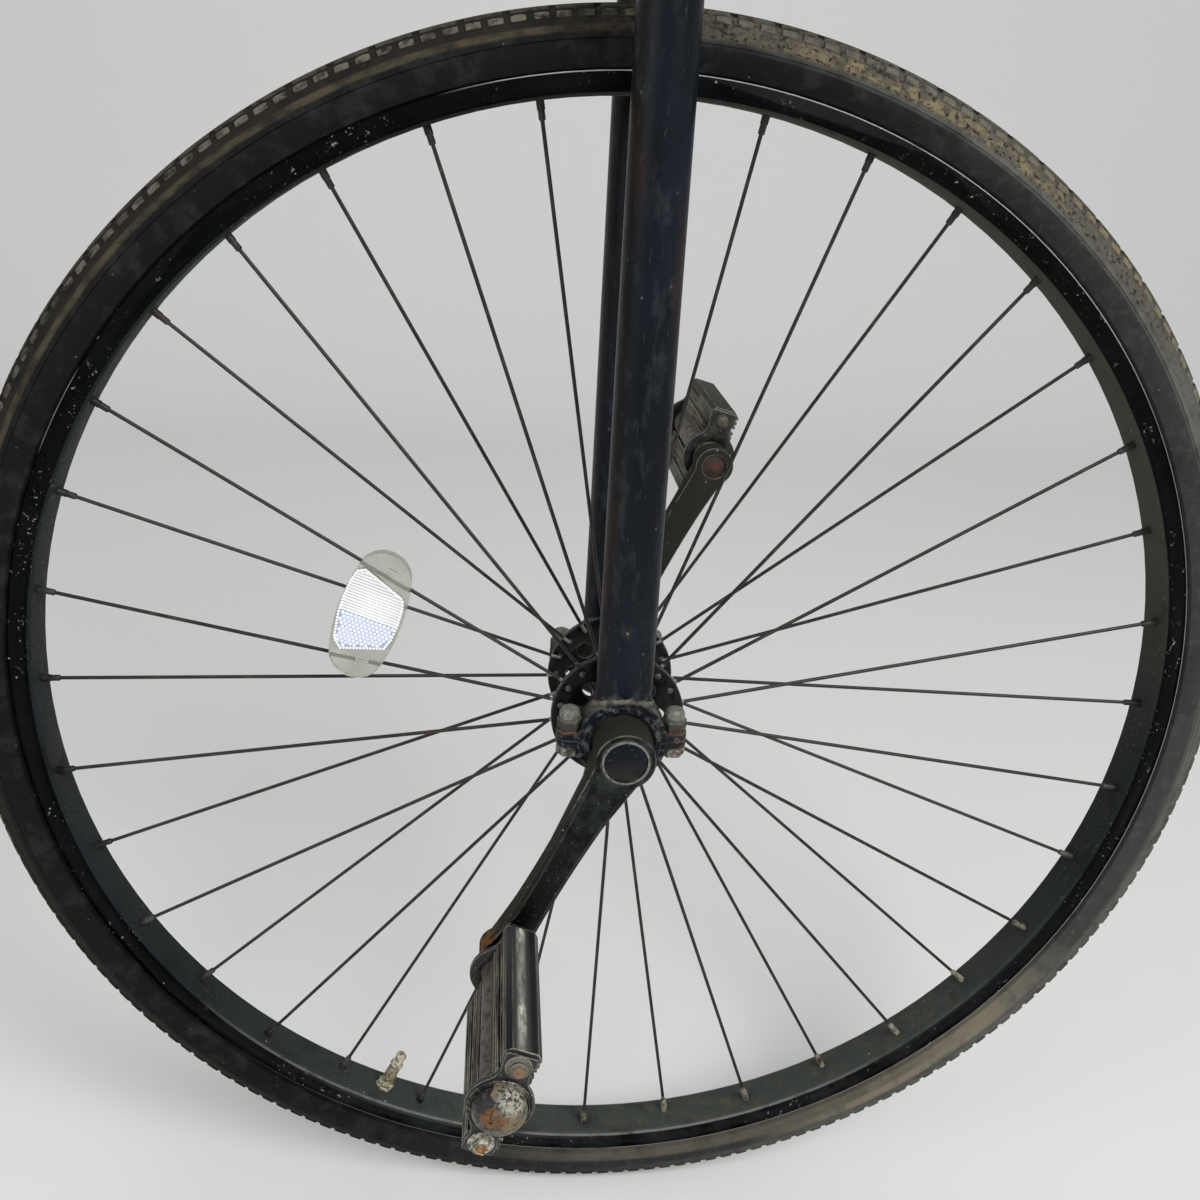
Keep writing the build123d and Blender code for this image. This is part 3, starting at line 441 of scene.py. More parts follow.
def add_node(tree: bpy.types.NodeTree, kind: str, inputs: Optional[dict] = None,
             **settings: Union[str, int]) -> bpy.types.Node:
    """Add one shader node with its settings, values and links.

    Args:
        tree: the node tree.
        kind: the node's type, without the ShaderNode before it.
        inputs: socket name or number, and the value or the socket that feeds it.
        settings: the node's own properties.

    Returns:
        The node.
    """
    node = tree.nodes.new(f"ShaderNode{kind}")
    for name, value in settings.items():
        setattr(node, name, value)
    for key, value in (inputs or {}).items():
        if isinstance(value, Socket):
            tree.links.new(value, node.inputs[key])
        else:
            node.inputs[key].default_value = value
    return node


def sight_rays(tree: bpy.types.NodeTree) -> Socket:
    """A mask over what the camera sees straight, in a reflection or through glass.

    Args:
        tree: the node tree that it is added to.

    Returns:
        The mask's socket.
    """
    ray = add_node(tree, "LightPath").outputs
    seen = add_node(tree, "Math", {0: ray["Is Camera Ray"], 1: ray["Is Glossy Ray"]}, operation="MAXIMUM")
    return add_node(tree, "Math", {0: seen.outputs[0], 1: ray["Is Transmission Ray"]},
                    operation="MAXIMUM").outputs[0]


class Surface:
    """One material's node tree while its layers are laid, from the ground colour up.

    A mask is a socket that is 1 where it holds and 0 elsewhere.
    """

    def __init__(self, name: str, colour: str, roughness: float, metallic: float = 0.0) -> None:
        """Start a material.

        Args:
            name: the real material's name.
            colour: the ground colour as sRGB hex.
            roughness: the ground's roughness.
            metallic: 1 for bare metal, 0 for anything else.
        """
        self.material = bpy.data.materials.new(name)
        self.material.use_nodes = True
        self.tree = self.material.node_tree
        self.shader = self.tree.nodes["Principled BSDF"]
        where = add_node(self.tree, "TexCoord")
        self.place = where.outputs["Object"]
        self.facing_out = where.outputs["Normal"]
        self.colour: Value = linear(colour)
        self.roughness: Value = roughness
        self.metallic: Value = metallic
        self.height: Optional[Socket] = None

    def ramp(self, value: Socket, low: float, high: float) -> Socket:
        """A value stretched so that low becomes 0 and high becomes 1, and cut off there."""
        return add_node(self.tree, "MapRange", {"Value": value, "From Min": low, "From Max": high}).outputs[0]

    def both(self, first: Value, *others: Value) -> Socket:
        """The mask that holds where all the masks hold; a plain number thins it.

        Args:
            first: a mask or a number.
            others: the other masks or numbers.

        Returns:
            The mask's socket.
        """
        for other in others:
            first = add_node(self.tree, "Math", {0: first, 1: other}, operation="MULTIPLY").outputs[0]
        return first

    def patches(self, size: float, low: float, high: float, stretch: tuple = (1, 1, 1),
                seed: float = 0.0, detail: float = 4.0) -> Socket:
        """A mask of cloudy patches.

        Args:
            size: the patches' size in millimetres.
            low: the noise level where the mask starts.
            high: the noise level where it is full.
            stretch: how much finer the pattern is along each axis.
            seed: moves the pattern, so that two masks differ.
            detail: how many finer octaves break up the edges.

        Returns:
            The mask's socket.
        """
        where = add_node(self.tree, "Mapping", {"Vector": self.place, "Scale": stretch,
                                                "Location": (seed, seed * 0.7, seed * 1.3)})
        noise = add_node(self.tree, "TexNoise", {"Vector": where.outputs[0], "Scale": 1 / (size * MM),
                                                 "Detail": detail, "Roughness": 0.62})
        return self.ramp(noise.outputs[0], low, high)

    def specks(self, spacing: float, share: float, seed: float = 0.0) -> Socket:
        """A mask of small round specks.

        Args:
            spacing: the mean distance between specks, in millimetres.
            share: a speck's radius as a share of the spacing.
            seed: moves the pattern.

        Returns:
            The mask's socket.
        """
        where = add_node(self.tree, "Mapping", {"Vector": self.place, "Location": (seed,) * 3})
        cells = add_node(self.tree, "TexVoronoi", {"Vector": where.outputs[0], "Scale": 1 / (spacing * MM)})
        return self.ramp(cells.outputs[0], share, share * 0.6)

    def moved(self, start: Value) -> Socket:
        """The place as seen from a start."""
        return add_node(self.tree, "VectorMath", {0: self.place, 1: start}, operation="SUBTRACT").outputs[0]

    def dot(self, one: Value, other: Value) -> Socket:
        """How far one vector reaches along another."""
        return add_node(self.tree, "VectorMath", {0: one, 1: other}, operation="DOT_PRODUCT").outputs["Value"]

    def unit(self, value: Socket) -> Socket:
        """A vector shortened or stretched to a length of 1."""
        return add_node(self.tree, "VectorMath", {0: value}, operation="NORMALIZE").outputs[0]

    def length(self, value: Socket) -> Socket:
        """A vector's length."""
        return add_node(self.tree, "VectorMath", {0: value}, operation="LENGTH").outputs["Value"]

    def facing(self, direction: Vector, low: float, high: float) -> Socket:
        """A mask over the faces that look in a direction of the piece's own frame."""
        return self.ramp(self.dot(self.facing_out, direction), low, high)

    def radius(self) -> Socket:
        """The distance from the axle's line."""
        flat = add_node(self.tree, "VectorMath", {0: self.moved(AXLE), 1: (1, 0, 1)}, operation="MULTIPLY")
        return self.length(flat.outputs[0])

    def ring(self, start: float, end: float, soft: float) -> Socket:
        """A mask over a band of distances from the axle's line.

        Args:
            start: the band's inner radius in millimetres.
            end: its outer radius.
            soft: how far it fades out beyond either.

        Returns:
            The mask's socket.
        """
        far = self.radius()
        return self.both(self.ramp(far, (start - soft) * MM, start * MM),
                         self.ramp(far, (end + soft) * MM, end * MM))

    def section(self, centre: float) -> Socket:
        """The place across a tyre's section: out from its section circle, and sideways.

        Args:
            centre: the section circle's radius in millimetres.

        Returns:
            The socket of the vector.
        """
        rise = add_node(self.tree, "Math", {0: self.radius(), 1: centre * MM}, operation="SUBTRACT")
        sideways = add_node(self.tree, "SeparateXYZ", {0: self.place}).outputs[1]
        return add_node(self.tree, "CombineXYZ", {0: rise.outputs[0], 1: sideways}).outputs[0]

    def crest(self, centre: float, start: float, end: float) -> Socket:
        """A mask that grows between two distances from a tyre's section circle, in millimetres."""
        return self.ramp(self.length(self.section(centre)), start * MM, end * MM)

    def shoulder(self, centre: float, start: float, end: float, soft: float) -> Socket:
        """A mask over a band of a tyre's section.

        Args:
            centre: the section circle's radius in millimetres.
            start: the band's start, in degrees from the crown to either side.
            end: the band's end, in degrees.
            soft: how far it fades out beyond either end, in degrees.

        Returns:
            The mask's socket.
        """
        share = self.dot(self.unit(self.section(centre)), (1, 0, 0))
        begins, starts, ends, gone = (math.cos(math.radians(a))
                                      for a in (max(start - soft, 0), start, end, end + soft))
        inner = self.ramp(share, gone, ends)
        return self.both(self.ramp(share, begins, starts), inner) if start > 0 else inner

    def towards(self, degrees: float, low: float, high: float) -> Socket:
        """A mask over the part of the wheel near an angle from +X towards +Z, by the cosine."""
        return self.ramp(self.dot(self.unit(self.moved(AXLE)), in_wheel_plane(degrees)), low, high)

    def arc(self, middle: float, half: float, soft: float) -> Socket:
        """A mask over an arc of the wheel round an angle, all in degrees."""
        return self.towards(middle, math.cos(math.radians(half + soft)), math.cos(math.radians(half)))

    def slab(self, point: Vector, direction: Vector, half: float, soft: float) -> Socket:
        """A mask over a slab round a point, square to a direction; half width in millimetres."""
        far = add_node(self.tree, "Math", {0: self.dot(self.moved(point), direction)}, operation="ABSOLUTE")
        return self.ramp(far.outputs[0], (half + soft) * MM, half * MM)

    def stripes(self, point: Vector, direction: Vector, pitch: float, share: float) -> Socket:
        """A mask of even stripes.

        Args:
            point: where a stripe starts.
            direction: square to the stripes.
            pitch: from stripe to stripe, in millimetres.
            share: a stripe's width as a share of the pitch.

        Returns:
            The mask's socket.
        """
        turns = self.dot(self.moved(point), direction * (1 / (pitch * MM)))
        part = add_node(self.tree, "Math", {0: turns}, operation="FRACT")
        return self.ramp(part.outputs[0], share * 1.1, share * 0.9)

    def near(self, point: Vector, radius: float, soft: float) -> Socket:
        """A mask over a ball round a point; radius and softness in millimetres."""
        return self.ramp(self.length(self.moved(point)), (radius + soft) * MM, radius * MM)

    def along(self, direction: Vector, start: float, end: float) -> Socket:
        """A mask that grows along a direction between two places, in metres."""
        return self.ramp(self.dot(self.place, direction), start, end)

    def edges(self, radius: float) -> Socket:
        """A mask over sharp edges, where coatings wear off first.

        Args:
            radius: how wide the mask is, in millimetres.

        Returns:
            The mask's socket.
        """
        rounded = add_node(self.tree, "Bevel", {"Radius": radius * MM}, samples=4)
        plain = add_node(self.tree, "NewGeometry")
        return self.ramp(self.dot(rounded.outputs[0], plain.outputs["Normal"]), 0.995, 0.93)

    def lay(self, mask: Value, colour: str, roughness: Optional[float] = None,
            metallic: Optional[float] = None) -> None:
        """Lay a colour, and if given its roughness and metalness, where the mask holds.

        Args:
            mask: where the layer lies.
            colour: its colour as sRGB hex.
            roughness: its roughness.
            metallic: its metalness.
        """
        self.colour = add_node(self.tree, "Mix", {0: mask, 6: self.colour, 7: linear(colour)},
                               data_type="RGBA").outputs[2]
        if roughness is not None:
            self.roughness = add_node(self.tree, "Mix", {0: mask, 2: self.roughness, 3: roughness}).outputs[0]
        if metallic is not None:
            self.metallic = add_node(self.tree, "Mix", {0: mask, 2: self.metallic, 3: metallic}).outputs[0]

    def swell(self, mask: Value, height: float) -> None:
        """Raise the surface where the mask holds.

        Args:
            mask: where it rises.
            height: how far in millimetres; below zero it sinks.
        """
        step = self.both(mask, height * MM)
        if self.height is not None:
            step = add_node(self.tree, "Math", {0: self.height, 1: step}, operation="ADD").outputs[0]
        self.height = step

    def finish(self, **sockets: Value) -> Material:
        """Wire the layers to the shader.

        Args:
            sockets: other shader sockets to set, with underscores for spaces.

        Returns:
            The material.
        """
        values = {"Base Color": self.colour, "Roughness": self.roughness, "Metallic": self.metallic}
        values |= {name.replace("_", " "): value for name, value in sockets.items()}
        if self.height is not None:
            bump = add_node(self.tree, "Bump", {"Height": self.height, "Distance": 1.0})
            values["Normal"] = bump.outputs[0]
        for name, value in values.items():
            if isinstance(value, Socket):
                self.tree.links.new(value, self.shader.inputs[name])
            else:
                self.shader.inputs[name].default_value = value
        return self.material


@dataclass(frozen=True)
class TyreRubber:
    """Vulcanised black rubber, moulded: matt, with rubbed grey lumps and dried mud in places."""

    section_centre: float = 331.1
    ground: str = "#0c0d0f"
    film: str = "#3b3d3b"
    dirt: str = "#27241f"
    top: str = "#6b675c"
    tan_top: str = "#7d7159"
    streak: str = "#4a4436"
    ledge: str = "#5c5d58"
    mud: str = "#59544a"
    dry_mud: str = "#7c7057"
    crack: str = "#24221f"
    bank: str = "#7a7365"

    def material(self) -> Material:
        """The tyre's material."""
        s = Surface("vulcanised_rubber_dusty", self.ground, 0.75)
        centre = self.section_centre
        s.lay(s.both(s.towards(-20, -0.1, 1.0), s.patches(60, 0.1, 0.45)), self.film, 0.85)
        scuffed = s.both(s.towards(-20, -0.3, 0.8), s.patches(5, 0.5, 0.66, seed=16, detail=7))
        s.lay(s.both(scuffed, 0.25), self.ledge, 0.9)
        s.lay(s.both(s.patches(12, 0.5, 0.7, seed=12), 0.35), self.film, 0.85)
        s.lay(s.both(s.shoulder(centre, 0, 69, 1.5), s.patches(16, 0.25, 0.55, seed=8)), self.dirt, 0.95)
        rubbed = s.both(s.towards(0, -0.05, 0.5), s.shoulder(centre, 28, 80, 6))
        s.lay(s.both(rubbed, s.patches(14, 0.2, 0.55, seed=13)), self.ledge, 0.9)
        khaki = s.both(s.shoulder(centre, 60, 68.5, 4), s.towards(112, 0.3, 0.75))
        s.lay(s.both(khaki, s.patches(15, 0.34, 0.6, stretch=(1, 2, 1), seed=9)), self.streak, 0.95)
        self.lay_mud(s)
        lumps = s.both(s.shoulder(centre, 30, 48, 0.6), s.crest(centre, 18.15, 18.5))
        worn = s.both(s.patches(5, 0.34, 0.56, seed=2, detail=6), s.patches(28, 0.3, 0.5, seed=17))
        s.lay(s.both(lumps, s.arc(110, 75, 20), worn), self.top, 0.9)
        s.lay(s.both(lumps, s.arc(36, 12, 14), worn), self.tan_top, 0.9)
        crown = s.both(s.shoulder(centre, 0, 27.5, 0.6), s.crest(centre, 18.2, 18.55))
        s.lay(s.both(crown, 0.4, worn), self.top, 0.9)
        s.lay(s.both(s.specks(9, 0.07), 0.6), self.top)
        s.swell(s.patches(1.6, 0.3, 0.7), 0.06)
        s.swell(s.patches(5, 0.4, 0.7, seed=4), 0.12)
        return s.finish(Specular_IOR_Level=0.15)

    def lay_mud(self, s: Surface) -> None:
        """Lay the dried mud: cracked on the upper right shoulder, and a bank at the lower right foot."""
        centre = self.section_centre
        right = s.both(s.arc(64, 20, 14), s.shoulder(centre, 20, 70, 8))
        s.lay(s.both(right, s.patches(4, 0.36, 0.54, seed=5, detail=8)), self.mud, 0.95)
        thick = s.both(s.arc(66, 9, 9), s.shoulder(centre, 50, 68, 6))
        s.lay(s.both(thick, s.patches(6, 0.44, 0.6, seed=6, detail=8)), self.dry_mud, 0.95)
        s.lay(s.both(right, s.patches(2.4, 0.52, 0.62, seed=15, detail=8)), self.crack, 0.9)
        bank = s.both(s.arc(-50, 8, 14), s.shoulder(centre, 88, 130, 8))
        s.lay(s.both(bank, s.patches(14, 0.2, 0.5, seed=7, detail=6)), self.bank, 0.95)
        foot = s.both(s.arc(-72, 14, 18), s.shoulder(centre, 103, 130, 6))
        s.lay(s.both(foot, s.patches(18, 0.15, 0.5, seed=3)), self.mud, 0.95)


@dataclass(frozen=True)
class RimEnamel:
    """Stoved black enamel on steel: glossy walls, a worn edge with a painted highlight along it, a painted
    highlight at the bed's fold and a bed dulled by dust.
    """

    ground: str = "#020304"
    haze: str = "#0a0c0f"
    bed: str = "#25282a"
    bed_dust: str = "#47443d"
    bed_moss: str = "#424643"
    bare: str = "#a9aaa6"
    # The bright colour is a painted highlight on the rolled edge; the chip colour also paints highlights at
    # the bed's fold and near 151 degrees.
    bright: str = "#e6e7e4"
    chip: str = "#8d8d89"
    tan: str = "#5b5443"

    def material(self) -> Material:
        """The rim's material."""
        s = Surface("stoved_enamel_black", self.ground, 0.2)
        s.lay(s.patches(30, 0.4, 0.75), self.haze, 0.35)
        s.lay(s.both(s.towards(-85, 0.5, 0.9), s.patches(22, 0.4, 0.8, seed=14)), self.bed, 0.45)
        bed = s.ring(300, 311.6, 0.5)
        s.lay(s.both(bed, s.patches(30, 0.1, 0.5, seed=2)), self.bed, 0.6)
        s.lay(s.both(bed, s.arc(50, 30, 25), s.patches(24, 0.2, 0.45, seed=3)), self.bed_dust, 0.8)
        s.lay(s.both(bed, s.arc(-80, 35, 25), s.patches(24, 0.2, 0.45, seed=4)), self.bed_moss, 0.7)
        tan = s.both(bed, s.arc(-66, 16, 16), s.patches(8, 0.5, 0.66, seed=5, detail=7))
        s.lay(s.both(tan, 0.55), self.tan, 0.9)
        scratched = s.both(s.patches(2.4, 0.64, 0.69, stretch=(1, 3, 1), seed=4), s.patches(45, 0.45, 0.6))
        s.lay(scratched, self.chip, 0.5)
        s.lay(s.specks(15, 0.045, 1.0), self.chip, 0.5)
        # Painted highlight: the fold between bed and wall is laid pale at the bottom, in the chip colour.
        corner = s.both(s.ring(311.3, 312.0, 0.2), s.arc(-95, 30, 15))
        s.lay(s.both(corner, 0.5, s.patches(18, 0.35, 0.5, seed=6)), self.chip, 0.8)
        # The rolled edge: worn bare in patches on the right and bottom, partly a painted highlight; a
        # near-white painted highlight at the upper right and a short painted highlight near 151 degrees.
        worn = s.both(s.ring(321.0, 323, 0.25), s.patches(30, 0.25, 0.42, seed=7))
        s.lay(s.both(worn, s.towards(-15, -0.5, 0.3)), self.bare, 0.4, 0.3)
        s.lay(s.both(worn, s.arc(70, 28, 10)), self.bright, 0.4)
        s.lay(s.both(s.ring(321.1, 323, 0.2), s.arc(151.2, 4, 1.2)), self.chip, 0.4)
        s.swell(s.patches(12, 0.3, 0.7, seed=9, detail=2.0), 0.03)
        return s.finish(Specular_IOR_Level=0.06)


@dataclass(frozen=True)
class SpokeSteel:
    """Blackened spring-steel wire, drawn: dark and half dull, freckled with rust, bright at its elbow."""

    name: str = "blackened_spoke_wire"
    ground: str = "#171615"
    bloom: str = "#2f2e2c"
    rust: str = "#4f3525"
    elbow: str = "#8f908d"
    chalk: str = "#96907f"
    rust_share: float = 0.5

    def material(self) -> Material:
        """The wire's material."""
        s = Surface(self.name, self.ground, 0.42, 0.3)
        s.lay(s.patches(14, 0.45, 0.7), self.bloom, 0.55)
        s.lay(s.both(s.patches(5, 0.55, 0.66, seed=3), self.rust_share), self.rust, 0.85, 0.0)
        s.lay(s.both(s.ring(30, 36.5, 1.0), s.patches(4, 0.3, 0.5, seed=5)), self.elbow, 0.45, 0.5)
        bottom = s.both(s.towards(-58, 0.75, 0.95), s.ring(301, 315, 2))
        s.lay(s.both(bottom, s.patches(5, 0.35, 0.55, seed=6)), self.chalk, 0.9, 0.0)
        s.swell(s.patches(0.8, 0.4, 0.6), 0.03)
        return s.finish()


@dataclass(frozen=True)
class ZincSteel:
    """Zinc-plated steel gone dull: khaki-grey bloom on top, brown rust where water stands."""

    name: str = "zinc_plated_steel_dull"
    ground: str = "#6f6f66"
    bloom: str = "#85857b"
    dirt: str = "#3d3931"
    rust: str = "#7b3f1e"
    dirt_low: float = 0.5
    rust_low: float = 0.6
    metallic: float = 0.35

    def material(self) -> Material:
        """The plating's material."""
        s = Surface(self.name, self.ground, 0.5, self.metallic)
        s.lay(s.patches(3, 0.45, 0.7), self.bloom, 0.62)
        s.lay(s.patches(4.5, self.dirt_low, self.dirt_low + 0.12, seed=2), self.dirt, 0.8, 0.0)
        s.lay(s.patches(5, self.rust_low, self.rust_low + 0.1, seed=5), self.rust, 0.9, 0.0)
        s.swell(s.patches(0.9, 0.35, 0.65, seed=1), 0.05)
        return s.finish()


@dataclass(frozen=True)
class NutSteel:
    """Plated nuts and bolts: khaki domes, brown flanks, a line of orange rust, chalky lower heads."""

    dome: str = "#64655c"
    pale: str = "#8c8b81"
    flank: str = "#37322b"
    rust: str = "#86502c"
    maroon: str = "#432a22"
    dome_foot: float = 12.0
    washer: float = 4.7

    def material(self) -> Material:
        """The nuts' material."""
        s = Surface("plated_nut_steel_corroded", self.dome, 0.48, 0.2)
        s.lay(s.patches(2.2, 0.48, 0.68, seed=2), self.pale, 0.6)
        foot = -(AXLE.z + self.dome_foot * MM)
        s.lay(s.both(s.along(-UP, foot, foot + 0.003), s.patches(4, 0.2, 0.42)), self.flank, 0.8, 0.0)
        line = s.slab(AXLE + UP * self.washer * MM, UP, 0.25, 0.5)
        s.lay(s.both(line, s.patches(3, 0.42, 0.56, seed=4), 0.75), self.rust, 0.9, 0.0)
        low = -AXLE.z + 0.004
        s.lay(s.both(s.along(-UP, low, low + 0.001), s.patches(3, 0.4, 0.55, seed=5)), self.pale, 0.8, 0.0)
        s.lay(s.both(s.along(-UP, low, low + 0.001), s.patches(4, 0.5, 0.6, seed=6)), self.maroon, 0.9, 0.0)
        s.swell(s.patches(1.1, 0.35, 0.65, seed=1), 0.06)
        return s.finish()


@dataclass(frozen=True)
class ForkEnamel:
    """Sprayed blue-black enamel on steel tube: satin, rubbed lengthways, chipped to primer and rust."""

    ground: str = "#05080e"
    faded: str = "#131a24"
    brown: str = "#16130f"
    rub: str = "#43494e"
    dust: str = "#75736a"
    ochre: str = "#9a7d4c"
    rust: str = "#4a2a1c"
    holder_top: float = 25.0

    def material(self) -> Material:
        """The fork's material."""
        s = Surface("satin_enamel_blue_black", self.ground, 0.33)
        s.lay(s.both(s.patches(26, 0.36, 0.7, stretch=(1, 1, 0.25)), 0.8), self.faded, 0.45)
        front = s.facing(-AHEAD, 0.45, 0.8)
        s.lay(s.both(front, s.patches(40, 0.3, 0.6, stretch=(1, 1, 0.3), seed=12)), self.brown)
        s.lay(s.both(s.patches(1.6, 0.62, 0.72, stretch=(1, 1, 0.14), seed=2), 0.5), self.rub, 0.5)
        s.lay(s.both(s.patches(9, 0.55, 0.7, stretch=(1, 1, 0.4), seed=11), 0.3), self.rub, 0.55)
        s.lay(s.both(s.patches(1.1, 0.66, 0.72, seed=13), s.patches(60, 0.4, 0.6, seed=14)), self.rub, 0.6)
        s.lay(s.both(s.patches(30, 0.55, 0.75, stretch=(1, 1, 0.3), seed=6), 0.35), self.rust, 0.7)
        s.lay(s.specks(13, 0.07, 2.0), self.rub, 0.6)
        s.lay(s.specks(46, 0.035, 4.0), self.ochre, 0.8)
        foot = -AXLE.z - self.holder_top * MM
        low = s.along(-UP, foot - 0.004, foot + 0.001)
        s.lay(s.both(low, s.facing(UP, 0.35, 0.95), s.patches(6, 0.3, 0.6, seed=5)), self.dust, 0.9)
        s.lay(s.both(low, s.patches(4, 0.5, 0.62, seed=9), 0.5), self.dust, 0.85)
        s.lay(s.both(s.edges(1.1), s.patches(8, 0.4, 0.6, seed=8)), self.rub, 0.5)
        s.swell(s.patches(1.4, 0.3, 0.7), 0.03)
        s.swell(s.patches(14, 0.3, 0.7, seed=3), 0.06)
        return s.finish(Specular_IOR_Level=0.14)


@dataclass(frozen=True)
class WeldBead:
    """A painted weld bead: lumpy, with brown dust lodged in it."""

    ground: str = "#1b1c1b"
    dust: str = "#6f6b5f"

    def material(self) -> Material:
        """The bead's material."""
        s = Surface("painted_weld_bead", self.ground, 0.55)
        s.lay(s.patches(5, 0.34, 0.6), self.dust, 0.95)
        s.swell(s.patches(1.8, 0.3, 0.7, seed=1), 0.3)
        return s.finish(Specular_IOR_Level=0.25)


@dataclass(frozen=True)
class HubEnamel:
    """Black enamel on the hub: grimy between the spokes, with a thin pale line of wear at its edges."""

    ground: str = "#08090a"
    grime: str = "#1d1d1b"
    pale: str = "#7a7a74"

    def material(self) -> Material:
        """The hub's material."""
        s = Surface("hub_enamel_black", self.ground, 0.3)
        s.lay(s.patches(9, 0.4, 0.68), self.grime, 0.6)
        s.lay(s.specks(7, 0.07, 1.0), self.pale, 0.7)
        s.lay(s.both(s.edges(0.8), s.patches(9, 0.3, 0.5, seed=4)), self.pale, 0.5)
        s.swell(s.patches(2, 0.3, 0.7), 0.04)
        return s.finish(Specular_IOR_Level=0.2)


@dataclass(frozen=True)
class CrankEnamel:
    """Black enamel on a forging: scuffed grey on its face, browned by road dirt on its sides."""

    side: Side
    arm: Vector
    ground: str = "#040506"
    scuff: str = "#2c3031"
    dirt: str = "#2a2924"
    bare: str = "#8f8b80"
    rust: str = "#80592c"

    def material(self) -> Material:
        """The crank's material."""
        s = Surface(f"forging_enamel_black_{self.side.tag}", self.ground, 0.36)
        down = AXLE.dot(self.arm)
        upper = s.along(self.arm, down + 0.085, down + 0.015)
        s.lay(s.both(upper, s.patches(11, 0.4, 0.62, seed=2)), self.scuff, 0.5)
        sides = s.facing(self.side.outward, 0.8, 0.35)
        s.lay(s.both(sides, s.patches(12, 0.15, 0.42)), self.dirt, 0.8)
        if self.side is Side.RIGHT:
            inward = s.facing(-self.side.outward, 0.5, 0.9)
            s.lay(s.both(inward, s.patches(9, 0.2, 0.5, seed=7)), self.dirt, 0.7)
        s.lay(s.both(s.patches(1.0, 0.64, 0.71, stretch=(1, 1, 0.5), seed=3), 0.45), self.bare, 0.6)
        s.lay(s.specks(11, 0.06, 2.0), self.bare, 0.6)
        s.lay(s.both(s.edges(1.0), s.patches(7, 0.34, 0.5, seed=5)), self.bare, 0.45)
        if self.side is Side.LEFT:
            eye = AXLE + self.arm * 0.127 + self.side.outward * 0.086
            rust = s.both(s.near(eye, 10, 7), sides)
            s.lay(s.both(rust, s.patches(5, 0.42, 0.56, seed=6, detail=6)), self.rust, 0.9)
        s.swell(s.patches(2.2, 0.3, 0.7), 0.06)
        return s.finish(Specular_IOR_Level=0.12)


@dataclass(frozen=True)
class CapPlastic:
    """Moulded nylon dust cap, blue-black: a soft shine, scratched grey, grit in the low half."""

    ground: str = "#040914"
    scratch: str = "#85877f"
    grit: str = "#2b2a25"
    rim_start: float = 11.3

    def material(self) -> Material:
        """The cap's material."""
        s = Surface("moulded_nylon_blue_black", self.ground, 0.26)
        below = s.along(-UP, -AXLE.z - 0.002, -AXLE.z + 0.008)
        s.lay(s.both(below, s.patches(5, 0.3, 0.55)), self.grit, 0.7)
        s.lay(s.both(s.patches(1.0, 0.64, 0.7, stretch=(0.6, 1, 1), seed=2), 0.5), self.scratch, 0.6)
        rim = s.both(s.ring(self.rim_start, 12.2, 0.25), s.patches(2.4, 0.34, 0.5, seed=4, detail=6))
        s.lay(s.both(rim, 0.8), self.scratch, 0.45)
        s.swell(s.patches(1, 0.3, 0.7), 0.03)
        return s.finish(IOR=1.53, Specular_IOR_Level=0.16)


@dataclass(frozen=True)
class PlateSteel:
    """Pressed steel, japanned black: chipped bright along its edges and browned between."""

    ground: str = "#0f0f10"
    brown: str = "#3c362e"
    bare: str = "#a6a69f"
    rust: str = "#5d3a22"

    def material(self) -> Material:
        """The plates' material."""
        s = Surface("japanned_pressed_steel", self.ground, 0.4)
        s.lay(s.patches(7, 0.5, 0.68), self.brown, 0.75)
        s.lay(s.patches(4, 0.66, 0.72, seed=3), self.rust, 0.9)
        s.lay(s.specks(3.0, 0.11, 1.0), self.bare, 0.5)
        s.lay(s.both(s.edges(0.6), s.patches(5, 0.28, 0.46, seed=4)), self.bare, 0.45, 0.3)
        s.swell(s.patches(1.1, 0.3, 0.7), 0.05)
        return s.finish()


@dataclass(frozen=True)
class PittedChrome:
    """Electroplated chrome on steel, pitted: bright flakes between tan bloom and orange rust, on a dark grey
    ground with a black patch that paint a dark reflection of the room.
    """

    side: Side
    foot: Vector
    # The ground is a dark grey, a painted dark reflection of the room over the whole dome; black is pitting,
    # and also paints a dark reflection on one side.
    ground: str = "#696761"
    black: str = "#09090b"
    bloom: str = "#7a6b4f"
    pale: str = "#aca798"
    rust: str = "#7b5129"

    def spot(self, ahead: float, out: float, up: float) -> Vector:
        """A place on the dome, in millimetres from the middle of its foot."""
        return self.foot + (AHEAD * ahead + self.side.outward * out + UP * up) * MM

    def material(self) -> Material:
        """The chrome's material."""
        s = Surface(f"chrome_plate_pitted_{self.side.tag}", self.ground, 0.17, 1.0)
        s.lay(s.patches(2.6, 0.44, 0.54, seed=1, detail=7.0), self.black, 0.4, 0.2)
        # Painted reflection: a black patch towards the back of the dome's top, where it mirrors the dark
        # room.
        dark = s.near(self.spot(-3.6, 6.6, 8.5), 6, 5)
        s.lay(s.both(dark, s.patches(2.2, 0.34, 0.46, seed=8, detail=7.0)), self.black, 0.4, 0.2)
        s.lay(s.patches(7, 0.55, 0.64, seed=2, detail=7.0), self.bloom, 0.75, 0.1)
        cream = s.near(self.spot(5.5, 6.5, 8.3), 4.0, 5)
        s.lay(s.both(cream, s.patches(1.6, 0.42, 0.54, seed=7, detail=7.0)), self.pale, 0.75, 0.0)
        tan = s.near(self.spot(5.9, 10.5, -2.5), 3.5, 4.5)
        s.lay(s.both(tan, s.patches(2.2, 0.4, 0.54, seed=9, detail=7.0)), self.bloom, 0.8, 0.0)
        rust = s.near(self.spot(-3.4, 10.2, 2.2), 3.4, 2.6)
        s.lay(s.both(rust, s.patches(2.2, 0.4, 0.52, seed=4, detail=7.0)), self.rust, 0.9, 0.0)
        s.lay(s.patches(11, 0.64, 0.68, seed=6, detail=6.0), self.rust, 0.9, 0.0)
        s.swell(s.patches(1.2, 0.35, 0.65, seed=3), 0.14)
        return s.finish()


